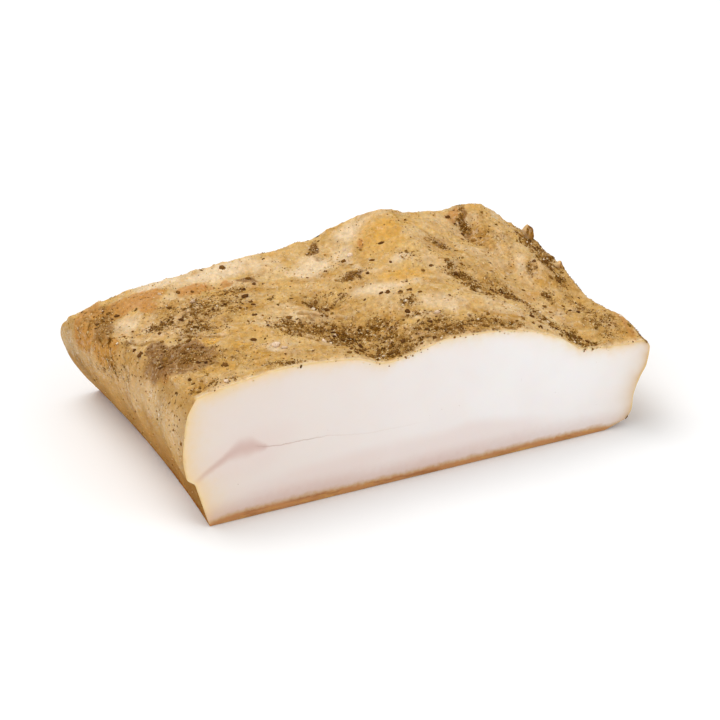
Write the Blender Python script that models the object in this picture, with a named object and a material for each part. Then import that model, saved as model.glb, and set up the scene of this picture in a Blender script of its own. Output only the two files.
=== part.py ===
"""A block of cured pork belly: rind below, one clean cut face in front, a crust of coarse spice above."""

import math
import random

import bmesh
import bpy
import numpy as np
from mathutils import Euler, Matrix, Vector, noise
from mathutils.bvhtree import BVHTree

# Overall size, in metres: the cut face lies at the front, looking along -Y
DEPTH = 0.115
CUT_CORNER = (-0.0847, -0.0589)
STEPS_LONG = 50
STEPS_DEEP = 32
STEPS_HIGH = 10

# Top line of the cut face and of the back: place along X from the left base corner, height
CUT_TOP = (
    (-0.0034, 0.0541),
    (0.0074, 0.0560),
    (0.0200, 0.0576),
    (0.0300, 0.0586),
    (0.0480, 0.0573),
    (0.0590, 0.0556),
    (0.0720, 0.0513),
    (0.0830, 0.0532),
    (0.0970, 0.0558),
    (0.1120, 0.0549),
    (0.1280, 0.0520),
    (0.1430, 0.0458),
    (0.1550, 0.0382),
    (0.1740, 0.0363),
    (0.1815, 0.0361),
)
BACK_TOP = (
    (-0.0120, 0.0372),
    (0.0020, 0.0418),
    (0.0450, 0.0464),
    (0.0880, 0.0502),
    (0.1050, 0.0535),
    (0.1210, 0.0568),
    (0.1350, 0.0532),
    (0.1510, 0.0515),
    (0.1650, 0.0520),
    (0.1745, 0.0465),
)

# Left and right ends, at the cut and at the back: share of the height, place along X
CUT_LEFT = ((0.0, 0.0), (0.20, -0.0030), (0.37, -0.0054), (0.55, -0.0068), (0.85, -0.0050), (1.0, -0.0008))
BACK_LEFT = ((0.0, 0.0), (0.28, -0.0068), (0.56, -0.0121), (0.80, -0.0145), (0.93, -0.0138), (1.0, -0.0120))
CUT_RIGHT = (
    (0.0, 0.1656),
    (0.10, 0.1754),
    (0.20, 0.1773),
    (0.35, 0.1777),
    (0.46, 0.1788),
    (0.58, 0.1807),
    (0.69, 0.1828),
    (0.90, 0.1839),
    (1.0, 0.1808),
)
BACK_RIGHT = ((0.0, 0.1630), (0.10, 0.1680), (0.40, 0.1735), (0.70, 0.1770), (0.90, 0.1775), (1.0, 0.1745))

# Overhanging lip of the left end: how far it stands out, and where its crease runs
LIP_DEPTH = 0.0026
LIP_RISE = (0.37, 0.78)
LIP_REACH = 0.42
LIP_STEP = 0.06
LIP_START = 0.05
UNDERCUT = 0.0014
BASE_BOW = 0.0022

# Round of the back edge, how far the back wall bellies out and how full its curve is
BACK_ROUND = 0.0070
BACK_BELLY = 0.0022
BELLY_FULL = 0.7

# How soon a wall's unevenness sets in over its base and under its top, and what counts as on a side of the cube
WALL_FREE = 8
ON_SIDE = 0.001
FACING = 0.99

# Swells and hollows of the top: X, Y, half length, half width, turn in degrees, height
SWELLS = {
    "right front shelf": (0.176, 0.041, 0.020, 0.013, 0, -0.0024),
    "right front corner": (0.182, 0.012, 0.014, 0.012, 0, 0.0012),
    "right back shoulder": (0.176, 0.070, 0.014, 0.014, 0, 0.0018),
    "rise under the knob": (0.173, 0.083, 0.008, 0.006, 75, 0.0020),
    "crest along the right": (0.161, 0.076, 0.036, 0.007, 95, 0.0022),
    "trough beside the crest": (0.150, 0.094, 0.018, 0.0055, 95, -0.0022),
    "spiced trough": (0.134, 0.044, 0.024, 0.007, -42, -0.0018),
    "honey hump": (0.117, 0.094, 0.022, 0.013, 80, 0.0020),
    "trough left of the hump": (0.092, 0.092, 0.022, 0.0055, 98, -0.0018),
    "pale saddle": (0.086, 0.070, 0.020, 0.010, 160, 0.0012),
    "valley behind the dip": (0.064, 0.026, 0.030, 0.0095, 112, -0.0026),
    "brow behind the cut": (0.100, 0.030, 0.024, 0.012, 8, 0.0014),
    "honey knoll": (0.032, 0.038, 0.016, 0.011, 20, 0.0015),
    "fold over the grey patch": (0.008, 0.059, 0.017, 0.0026, -34, 0.0016),
    "grey patch": (0.006, 0.040, 0.017, 0.014, -30, 0.0010),
    "hollow behind the fold": (0.014, 0.068, 0.020, 0.008, -30, -0.0016),
    "far corner": (-0.006, 0.096, 0.013, 0.010, 60, -0.0012),
    "back left rise": (0.026, 0.100, 0.026, 0.009, 10, 0.0012),
    "middle hollow": (0.052, 0.078, 0.020, 0.010, 150, -0.0012),
}
CUT_KEEP = 0.010
RIPPLES = ((0.026, 0.0009), (0.011, 0.0005))

# Knobs of flesh that stand up at the right edge: X, Y, Z, half across, half tall
KNOBS = ((0.1746, 0.0815, 0.0474, 0.0022, 0.0041), (0.1770, 0.0600, 0.0410, 0.0021, 0.0034))
KNOB_UNEVEN = (0.92, 1.08)

# Coarse spice that is fused on: X, Y, half length, half width, turn in degrees, flakes
SPICE_BEDS = {
    "valley behind the dip": (0.062, 0.026, 0.022, 0.010, 105, 27),
    "slope right of the dip": (0.090, 0.008, 0.020, 0.006, 4, 16),
    "front slope": (0.140, 0.008, 0.018, 0.005, -6, 13),
    "spiced trough": (0.136, 0.044, 0.019, 0.007, -42, 18),
    "trough beside the crest": (0.152, 0.094, 0.014, 0.004, 95, 7),
    "right edge": (0.170, 0.064, 0.018, 0.005, 85, 11),
    "right shelf": (0.167, 0.034, 0.012, 0.010, 0, 9),
    "grey patch": (0.006, 0.042, 0.014, 0.012, -30, 12),
    "left field": (0.034, 0.070, 0.026, 0.018, 0, 20),
    "middle": (0.098, 0.060, 0.024, 0.028, 0, 14),
    "left corner spill": (-0.004, 0.008, 0.007, 0.006, 0, 7),
    "far corner": (-0.006, 0.095, 0.008, 0.010, 0, 5),
}
FLAKE_LENGTH = (0.0015, 0.0029)
FLAKE_WIDTH = 0.72
FLAKE_THICK = 0.46
FLAKE_SINK = 0.25
FLAKE_LEAN = 0.35
FLAKE_UNEVEN = (0.78, 1.12)
FLAKE_GAP = 0.0026
EDGE_GAP = 0.0022
BED_SPREAD = 0.55
SEED = 41


def material(name, colour, roughness, coat=0.0):
    """A Principled finish."""
    made = bpy.data.materials.new(name)
    made.use_nodes = True
    shader = made.node_tree.nodes["Principled BSDF"]
    shader.inputs["Base Color"].default_value = (*colour, 1.0)
    shader.inputs["Roughness"].default_value = roughness
    shader.inputs["Metallic"].default_value = 0.0
    shader.inputs["Coat Weight"].default_value = coat
    made.diffuse_color = (*colour, 1.0)
    return made


def through(points, at):
    """Reads a smooth line through (place, value) points, without overshoot, at an array of places."""
    places, values = np.array(points).T
    steps = np.diff(values) / np.diff(places)
    turns = steps[:-1] * steps[1:] > 0
    middle = np.where(turns, 2 * steps[:-1] * steps[1:] / np.where(turns, steps[:-1] + steps[1:], 1), 0)
    slopes = np.concatenate([steps[:1], middle, steps[-1:]])
    at = np.clip(at, places[0], places[-1])
    i = np.clip(np.searchsorted(places, at) - 1, 0, len(places) - 2)
    span = places[i + 1] - places[i]
    t = (at - places[i]) / span
    held = values[i] * (1 + 2 * t) * (1 - t) ** 2 + values[i + 1] * t**2 * (3 - 2 * t)
    return held + span * (slopes[i] * t * (1 - t) ** 2 - slopes[i + 1] * t**2 * (1 - t))


def ease(t):
    """Smooth step from 0 to 1."""
    t = np.clip(t, 0, 1)
    return t * t * (3 - 2 * t)


def swell(x, y, shape):
    """Height that one swell or hollow adds."""
    centre_x, centre_y, half_long, half_wide, turn, height = shape
    angle = math.radians(turn)
    along = (x - centre_x) * math.cos(angle) + (y - centre_y) * math.sin(angle)
    across = (y - centre_y) * math.cos(angle) - (x - centre_x) * math.sin(angle)
    return height * np.exp(-((along / half_long) ** 2) - (across / half_wide) ** 2)


def ripple(x, y, z):
    """Soft unevenness, as a length."""
    total = np.zeros_like(x)
    for wave, height in RIPPLES:
        total += [height * noise.noise(Vector(p) / wave) for p in zip(x, y, z)]
    return total


def top_height(x, y):
    """Height of the crust over the base."""
    back = y / DEPTH
    height = (1 - back) * through(CUT_TOP, x) + back * through(BACK_TOP, x)
    relief = sum(swell(x, y, shape) for shape in SWELLS.values()) + ripple(x, y, 0 * x)
    height += relief * ease(y / CUT_KEEP)
    past = np.clip(y - (DEPTH - BACK_ROUND), 0, BACK_ROUND)
    return height - BACK_ROUND + np.sqrt(BACK_ROUND**2 - past**2)


def end_places(v, w):
    """Places along X of the left and the right end, at shares of the depth and of the height."""
    left = (1 - v) * through(CUT_LEFT, w) + v * through(BACK_LEFT, w)
    crease = LIP_RISE[0] + (LIP_RISE[1] - LIP_RISE[0]) * v / LIP_REACH
    strength = 1 - ease(v / LIP_REACH)
    left -= LIP_DEPTH * strength * ease((w - crease) / LIP_STEP + 0.5)
    below = np.clip(w / crease, 0, 1)
    left += UNDERCUT * strength * np.sin(math.pi * below) * ease(v / LIP_START)
    left += BASE_BOW * 4 * v * (1 - v) * (1 - w)
    right = (1 - v) * through(CUT_RIGHT, w) + v * through(BACK_RIGHT, w)
    return left, right


def slab_points(cube):
    """Places of the unit cube's points on the slab."""
    u, v, w = cube.T
    left_top, right_top = end_places(v, np.ones_like(w))
    y = v * (DEPTH - BACK_ROUND * (1 - math.sqrt(0.5)))
    height = top_height(left_top + u * (right_top - left_top), y)
    z = w * height
    left, right = end_places(v, w)
    x = left + u * (right - left)
    above = np.clip(z - (height - BACK_ROUND * math.sqrt(0.5)), 0, BACK_ROUND * math.sqrt(0.5))
    wall = DEPTH - BACK_ROUND + np.sqrt(BACK_ROUND**2 - above**2)
    free = ease(WALL_FREE * w * (1 - w))
    belly = BACK_BELLY * np.sin(math.pi * w) ** BELLY_FULL + ripple(x, 0 * x + DEPTH, z) * free
    y = np.where(v > 1 - ON_SIDE, wall + belly, y)
    sides = (u < ON_SIDE) | (u > 1 - ON_SIDE)
    x = x + np.where(sides, ripple(x, y, z) * ease(y / CUT_KEEP) * free, 0)
    return np.column_stack([x, y, z]) + (*CUT_CORNER, 0.0)


def slab_body(finishes):
    """The slab without its loose spice, as one closed mesh."""
    bm = bmesh.new()
    bmesh.ops.create_cube(bm, size=1.0, matrix=Matrix.Translation((0.5, 0.5, 0.5)))
    for axis, steps in enumerate((STEPS_LONG, STEPS_DEEP, STEPS_HIGH)):
        lines = [e for e in bm.edges if abs(e.verts[0].co[axis] - e.verts[1].co[axis]) > 0.5]
        bmesh.ops.subdivide_edges(bm, edges=lines, cuts=steps - 1, use_grid_fill=True)
    cube = np.array([v.co for v in bm.verts])
    for vert, place in zip(bm.verts, slab_points(cube)):
        vert.co = place
    bm.normal_update()
    for face in bm.faces:
        face.smooth = True
        face.material_index = 1 if face.normal.y < -FACING else 2 if face.normal.z < -FACING else 0
    flat = [f for f in bm.faces if f.material_index > 0]
    edges = {e for f in flat for e in f.edges if all(n.material_index > 0 for n in e.link_faces)}
    verts = {v for v in bm.verts if all(f.material_index > 0 for f in v.link_faces)}
    bmesh.ops.dissolve_limit(
        bm, angle_limit=math.radians(0.5), verts=list(verts), edges=list(edges), delimit={"MATERIAL"}
    )
    mesh = bpy.data.meshes.new("pork_slab")
    bm.to_mesh(mesh)
    bm.free()
    for finish in finishes:
        mesh.materials.append(finish)
    slab = bpy.data.objects.new("pork_slab", mesh)
    bpy.context.scene.collection.objects.link(slab)
    return slab


def spice_spots():
    """Seeded spots where a coarse flake lies: X and Y from the base corner, its length and its turn."""
    draw = random.Random(SEED)
    taken = []
    for centre_x, centre_y, half_long, half_wide, turn, count in SPICE_BEDS.values():
        angle = math.radians(turn)
        wanted = len(taken) + count
        while len(taken) < wanted:
            along = draw.gauss(0, BED_SPREAD) * half_long
            across = draw.gauss(0, BED_SPREAD) * half_wide
            length = draw.uniform(*FLAKE_LENGTH)
            spin = draw.uniform(0, math.tau)
            x = centre_x + along * math.cos(angle) - across * math.sin(angle)
            y = centre_y + along * math.sin(angle) + across * math.cos(angle)
            if not EDGE_GAP < y < DEPTH - BACK_ROUND:
                continue
            left, right = end_places(np.array([y / DEPTH]), np.ones(1))
            if not left[0] + EDGE_GAP < x < right[0] - EDGE_GAP:
                continue
            if all(math.hypot(x - other[0], y - other[1]) > FLAKE_GAP for other in taken):
                taken.append((x, y, length, spin))
    return taken


def flake(surface, x, y, length, spin, draw, finish):
    """One coarse grain, an uneven faceted chip that lies on the surface."""
    above = Vector((x + CUT_CORNER[0], y + CUT_CORNER[1], 1.0))
    place, normal, _face, _drop = surface.ray_cast(above, Vector((0, 0, -1)))
    bm = bmesh.new()
    bmesh.ops.create_icosphere(bm, subdivisions=1, radius=1.0)
    for vert in bm.verts:
        vert.co *= draw.uniform(*FLAKE_UNEVEN)
    tilt = normal.to_track_quat("Z", "Y").to_matrix().to_4x4()
    half = length / 2
    shape = Matrix.Diagonal((half, half * FLAKE_WIDTH, half * FLAKE_THICK, 1.0))
    lean = Euler((draw.uniform(-FLAKE_LEAN, FLAKE_LEAN), draw.uniform(-FLAKE_LEAN, FLAKE_LEAN), spin))
    centre = Matrix.Translation(place - normal * half * FLAKE_THICK * FLAKE_SINK)
    bmesh.ops.transform(bm, matrix=centre @ tilt @ lean.to_matrix().to_4x4() @ shape, verts=bm.verts)
    mesh = bpy.data.meshes.new("flake")
    bm.to_mesh(mesh)
    bm.free()
    mesh.materials.append(finish)
    return bpy.data.objects.new("flake", mesh)


def knob(x, y, z, half_across, half_tall, draw, finish):
    """One lump of flesh at the right edge."""
    bm = bmesh.new()
    bmesh.ops.create_icosphere(bm, subdivisions=2, radius=1.0)
    for vert in bm.verts:
        vert.co *= draw.uniform(*KNOB_UNEVEN)
    shape = Matrix.Diagonal((half_across, half_across, half_tall, 1.0))
    centre = Vector((x + CUT_CORNER[0], y + CUT_CORNER[1], z))
    bmesh.ops.transform(bm, matrix=Matrix.Translation(centre) @ shape, verts=bm.verts)
    mesh = bpy.data.meshes.new("knob")
    bm.to_mesh(mesh)
    bm.free()
    mesh.materials.append(finish)
    return bpy.data.objects.new("knob", mesh)


def fuse(slab, pieces):
    """Joins the knobs and flakes to the slab by one union, and removes the loose ones."""
    heap = bpy.data.collections.new("coarse spice")
    bpy.context.scene.collection.children.link(heap)
    for piece in pieces:
        heap.objects.link(piece)
    union = slab.modifiers.new("fuse", "BOOLEAN")
    union.operation = "UNION"
    union.operand_type = "COLLECTION"
    union.collection = heap
    union.solver = "EXACT"
    union.material_mode = "TRANSFER"
    graph = bpy.context.evaluated_depsgraph_get()
    fused = bpy.data.meshes.new_from_object(slab.evaluated_get(graph))
    slab.modifiers.clear()
    slab.data = fused
    fused.name = "pork_slab"
    for piece in pieces:
        bpy.data.objects.remove(piece)
    bpy.data.collections.remove(heap)


def main():
    for old in list(bpy.data.objects):
        bpy.data.objects.remove(old)
    crust = material("spiced crust", (0.52, 0.34, 0.14), 0.5, coat=0.15)
    fat = material("cut fat", (0.84, 0.79, 0.75), 0.4, coat=0.2)
    rind = material("rind", (0.42, 0.22, 0.09), 0.45, coat=0.1)
    spice = material("coarse spice", (0.10, 0.06, 0.03), 0.7)
    slab = slab_body((crust, fat, rind))
    draw = random.Random(SEED + 1)
    pieces = [knob(*lump, draw, crust) for lump in KNOBS]
    surface = BVHTree.FromObject(slab, bpy.context.evaluated_depsgraph_get())
    pieces += [flake(surface, *spot, draw, spice) for spot in spice_spots()]
    fuse(slab, pieces)


main()
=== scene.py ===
import math
import random

import bmesh
import bpy
import numpy as np
from bpy.props import (
    FloatProperty,
    FloatVectorProperty,
    IntProperty,
    IntVectorProperty,
    PointerProperty,
)
from mathutils import Matrix, Vector, noise
from mathutils.bvhtree import BVHTree


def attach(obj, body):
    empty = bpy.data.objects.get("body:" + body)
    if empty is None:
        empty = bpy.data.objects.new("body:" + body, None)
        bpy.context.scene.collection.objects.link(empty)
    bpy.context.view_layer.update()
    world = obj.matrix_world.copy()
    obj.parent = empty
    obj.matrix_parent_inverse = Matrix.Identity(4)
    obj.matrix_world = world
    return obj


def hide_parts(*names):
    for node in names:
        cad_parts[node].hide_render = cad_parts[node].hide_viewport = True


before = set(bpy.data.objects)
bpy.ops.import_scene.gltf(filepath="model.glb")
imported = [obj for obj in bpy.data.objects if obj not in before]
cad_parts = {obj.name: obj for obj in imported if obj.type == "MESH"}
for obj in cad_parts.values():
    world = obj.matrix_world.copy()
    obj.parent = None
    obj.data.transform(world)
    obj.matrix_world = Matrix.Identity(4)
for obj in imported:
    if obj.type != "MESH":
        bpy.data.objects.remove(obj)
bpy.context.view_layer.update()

bl_info = {
    "name": "Cured pork belly slab",
    "version": (1, 0, 0),
    "blender": (4, 5, 0),
    "location": "3D View > Sidebar > Pork slab",
    "description": "Builds a cut slab of cured pork belly with its spice crust, on a studio floor",
    "category": "Object",
}

NODE = "pork_slab"
BODY = "root"

# Left front corner of the base, from which every place below is measured, in metres
CUT_CORNER = np.array((-0.0847, -0.0589, 0.0))

# Top line of the cut face and of the back: place along X, height
CUT_TOP = (
    (-0.0034, 0.0541), (0.0074, 0.056), (0.02, 0.0576), (0.03, 0.0586), (0.048, 0.0573),
    (0.059, 0.0556), (0.072, 0.0513), (0.083, 0.0532), (0.097, 0.0558), (0.112, 0.0549),
    (0.128, 0.052), (0.143, 0.0458), (0.155, 0.0382), (0.174, 0.0363), (0.1815, 0.0361),
)
BACK_TOP = (
    (-0.012, 0.0372), (0.002, 0.0418), (0.045, 0.0464), (0.088, 0.0502), (0.105, 0.0535),
    (0.121, 0.0568), (0.135, 0.0532), (0.151, 0.0515), (0.165, 0.052), (0.1745, 0.0465),
)

# Left and right ends, at the cut and at the back: share of the height, place along X
CUT_LEFT = (
    (0.0, 0.0), (0.2, -0.003), (0.37, -0.0054), (0.55, -0.0068), (0.85, -0.005), (1.0, -0.0008),
)
BACK_LEFT = (
    (0.0, 0.0), (0.28, -0.0068), (0.56, -0.0121), (0.8, -0.0145), (0.93, -0.0138), (1.0, -0.012),
)
CUT_RIGHT = (
    (0.0, 0.1656), (0.1, 0.1754), (0.2, 0.1773), (0.35, 0.1777), (0.46, 0.1788), (0.58, 0.1807),
    (0.69, 0.1828), (0.9, 0.1839), (1.0, 0.1808),
)
BACK_RIGHT = ((0.0, 0.163), (0.1, 0.168), (0.4, 0.1735), (0.7, 0.177), (0.9, 0.1775), (1.0, 0.1745))

# Overhanging lip of the left end, in shares: its crease's rise, its reach into the depth, its step
LIP_RISE = (0.37, 0.78)
LIP_REACH = 0.42
LIP_STEP = 0.06

# Swells and hollows of the top: X, Y, half length, half width, turn in degrees, height
SWELLS = {
    "right front shelf": (0.176, 0.041, 0.02, 0.013, 0, -0.0024),
    "right front corner": (0.182, 0.012, 0.014, 0.012, 0, 0.0012),
    "right back shoulder": (0.176, 0.07, 0.014, 0.014, 0, 0.0018),
    "rise under the knob": (0.173, 0.083, 0.008, 0.006, 75, 0.002),
    "crest along the right": (0.161, 0.076, 0.036, 0.007, 95, 0.0022),
    "trough beside the crest": (0.15, 0.094, 0.018, 0.0055, 95, -0.0022),
    "spiced trough": (0.134, 0.044, 0.024, 0.007, -42, -0.0018),
    "honey hump": (0.117, 0.094, 0.022, 0.013, 80, 0.002),
    "trough left of the hump": (0.092, 0.092, 0.022, 0.0055, 98, -0.0018),
    "pale saddle": (0.086, 0.07, 0.02, 0.01, 160, 0.0012),
    "valley behind the dip": (0.064, 0.026, 0.03, 0.0095, 112, -0.0026),
    "brow behind the cut": (0.1, 0.03, 0.024, 0.012, 8, 0.0014),
    "honey knoll": (0.032, 0.038, 0.016, 0.011, 20, 0.0015),
    "fold over the grey patch": (0.008, 0.059, 0.017, 0.0026, -34, 0.0016),
    "grey patch": (0.006, 0.04, 0.017, 0.014, -30, 0.001),
    "hollow behind the fold": (0.014, 0.068, 0.02, 0.008, -30, -0.0016),
    "far corner": (-0.006, 0.096, 0.013, 0.01, 60, -0.0012),
    "back left rise": (0.026, 0.1, 0.026, 0.009, 10, 0.0012),
    "middle hollow": (0.052, 0.078, 0.02, 0.01, 150, -0.0012),
}

# Depth over which the relief starts behind the cut, and the ripples' wave lengths and heights
CUT_KEEP = 0.01
RIPPLES = ((0.026, 0.0009), (0.011, 0.0005))

# Knobs of flesh that stand up at the right edge: X, Y, Z, half across, half tall
KNOBS = (
    (0.1744, 0.0815, 0.0476, 0.0025, 0.0039), (0.1722, 0.083, 0.0452, 0.0036, 0.0034),
    (0.1768, 0.06, 0.0408, 0.0024, 0.0034), (0.175, 0.0615, 0.0392, 0.0034, 0.0028),
)

# Way that the knobs' shaded side faces, and their masks on the lit and on the shaded side: pale fat
# with painted highlight on the lit side, browned flesh and spice with painted shade on the shaded side
KNOB_SHADED = (1.0, -0.45, -0.2)
KNOB_MASKS = {
    "cream": (0.6, 0.0),
    "honey": (0.4, 0.0),
    "meat": (0.0, 0.8),
    "haze": (0.0, 1.0),
    "spice": (0.0, 0.4),
}

# Beds of coarse flakes: X, Y, half length, half width, turn in degrees, flakes
FLAKE_BEDS = {
    "valley behind the dip": (0.062, 0.026, 0.022, 0.01, 105, 27),
    "slope right of the dip": (0.09, 0.008, 0.02, 0.006, 4, 16),
    "front slope": (0.14, 0.008, 0.018, 0.005, -6, 13),
    "spiced trough": (0.136, 0.044, 0.019, 0.007, -42, 18),
    "trough beside the crest": (0.152, 0.094, 0.014, 0.004, 95, 7),
    "right edge": (0.17, 0.064, 0.018, 0.005, 85, 11),
    "right shelf": (0.167, 0.034, 0.012, 0.01, 0, 9),
    "grey patch": (0.006, 0.042, 0.014, 0.012, -30, 12),
    "left field": (0.034, 0.07, 0.026, 0.018, 0, 20),
    "middle": (0.098, 0.06, 0.024, 0.028, 0, 14),
    "left corner spill": (-0.004, 0.008, 0.007, 0.006, 0, 7),
    "far corner": (-0.006, 0.095, 0.008, 0.01, 0, 5),
}
FLAKE_GAP = 0.0026
EDGE_GAP = 0.0022
BED_SPREAD = 0.55

# Shares of the unit cube below and above which a point lies on a side
LOW_SIDE = 0.001
HIGH_SIDE = 0.999

# Seeds of the random draws
FLAKE_SEED = 41
KNOB_SEED = 42
SHAPE_SEED = 7
GRAIN_SEED = 11

# Least upward part of the normal where the surface counts as top
FACING_UP = 0.3

# How far a grain leans from the surface, as a share
GRAIN_LEAN = 0.22

# Grains that hang over the cut's edge: how near they lie first, their share, and how far they drop
SPILL_REACH = 0.0012
SPILL_SHARE = 0.6
SPILL_DROP = 0.0014

# Colour zones of the crust: X, Y, half length, half width, turn in degrees, strength
CREAM_ZONES = {
    "by the fold's far end": (0.0, 0.079, 0.0085, 0.0055, 55, 0.75),
    "fold's crumpled end": (0.004, 0.068, 0.006, 0.003, 55, 0.6),
    "back edge, left": (0.026, 0.106, 0.013, 0.0055, 8, 0.9),
    "back edge, bright": (0.047, 0.102, 0.015, 0.007, 10, 1.1),
    "back edge, right": (0.062, 0.099, 0.007, 0.005, 25, 0.6),
    "saddle": (0.08, 0.086, 0.01, 0.007, 45, 1.0),
    "left of the hump": (0.104, 0.103, 0.009, 0.005, 35, 0.8),
    "crumbly fat": (0.093, 0.089, 0.0075, 0.0045, 85, 0.7),
    "hump's foot": (0.11, 0.069, 0.0045, 0.0035, -20, 0.7),
    "pale band": (0.093, 0.052, 0.013, 0.0045, -15, 0.8),
    "broad pale field": (0.107, 0.028, 0.011, 0.007, -25, 0.6),
    "pink field": (0.098, 0.02, 0.008, 0.0025, -30, 0.5),
    "in the left field": (0.026, 0.076, 0.0045, 0.0035, 50, 0.6),
    "fat spot": (0.036, 0.021, 0.0035, 0.0025, -80, 1.0),
    "right slope": (0.161, 0.08, 0.021, 0.004, 77, 0.3),
    "right pink spot": (0.16, 0.062, 0.006, 0.003, 80, 0.6),
}
HONEY_ZONES = {
    "hump": (0.113, 0.091, 0.015, 0.0085, 65, 1.0),
    "hump's right flank": (0.116, 0.083, 0.011, 0.0025, 60, 0.8),
    "middle band": (0.104, 0.058, 0.011, 0.0055, -15, 1.0),
    "top right lobe": (0.162, 0.106, 0.006, 0.005, 20, 0.8),
    "behind the crest": (0.133, 0.097, 0.01, 0.0075, 60, 0.35),
    "under the fold": (0.019, 0.039, 0.0045, 0.0025, 0, 0.9),
    "knoll": (0.025, 0.027, 0.0048, 0.0034, -55, 1.0),
    "knoll's right": (0.029, 0.018, 0.005, 0.003, -50, 0.6),
    "near the cut": (0.013, 0.014, 0.009, 0.005, 0, 0.7),
    "by the broad field": (0.12, 0.023, 0.0045, 0.004, 50, 0.6),
    "right front corner": (0.175, 0.008, 0.0095, 0.0035, 87, 0.6),
    "back edge by the trough": (0.074, 0.105, 0.0115, 0.004, 15, 0.5),
    "right shelf": (0.172, 0.037, 0.0145, 0.0045, 84, 0.4),
    "smooth left field": (0.033, 0.039, 0.0125, 0.0065, -4, 0.4),
}
MEAT_ZONES = {
    "far left corner": (-0.009, 0.098, 0.014, 0.0062, 64, 1.1),
    "long patch": (0.007, 0.096, 0.017, 0.0082, 14, 1.1),
    "long patch's front": (0.012, 0.086, 0.006, 0.0045, 75, 0.6),
    "its tail": (0.031, 0.091, 0.0085, 0.005, 10, 0.7),
    "tail's end": (0.045, 0.09, 0.006, 0.0035, 5, 0.5),
    "left shoulder": (-0.011, 0.075, 0.01, 0.0034, -85, 1.2),
    "left shoulder, near": (-0.004, 0.026, 0.0044, 0.0022, 80, 1.0),
    "crest trough's head": (0.152, 0.106, 0.006, 0.003, 43, 0.6),
    "hump's left spot": (0.103, 0.089, 0.0055, 0.0018, 70, 0.6),
    "right corner's edge": (0.179, 0.008, 0.0125, 0.0018, 86, 0.5),
}
GREY_ZONES = {
    "patch before the fold": (0.004, 0.033, 0.015, 0.0125, -48, 1.0),
    "patch's left": (0.0, 0.047, 0.008, 0.0046, 79, 0.85),
    "patch's near end": (0.002, 0.029, 0.009, 0.0056, 87, 0.85),
    "far corner": (-0.006, 0.088, 0.011, 0.0044, 71, 0.75),
    "back smudge": (0.054, 0.089, 0.0042, 0.0025, -52, 0.7),
    "left trough": (0.088, 0.101, 0.008, 0.0018, 58, 0.7),
    "left trough's foot": (0.086, 0.091, 0.0058, 0.003, 73, 0.35),
    "brown mark": (0.09, 0.067, 0.0064, 0.003, 14, 0.7),
    "crest trough": (0.153, 0.097, 0.0125, 0.0022, 72, 0.8),
    "by the crest": (0.133, 0.077, 0.0045, 0.0033, -73, 0.5),
}
FIBRE_ZONES = {
    "right slope": (0.16, 0.076, 0.03, 0.008, 80, 1.0),
    "below the slope": (0.15, 0.052, 0.016, 0.007, 100, 0.6),
}

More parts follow.
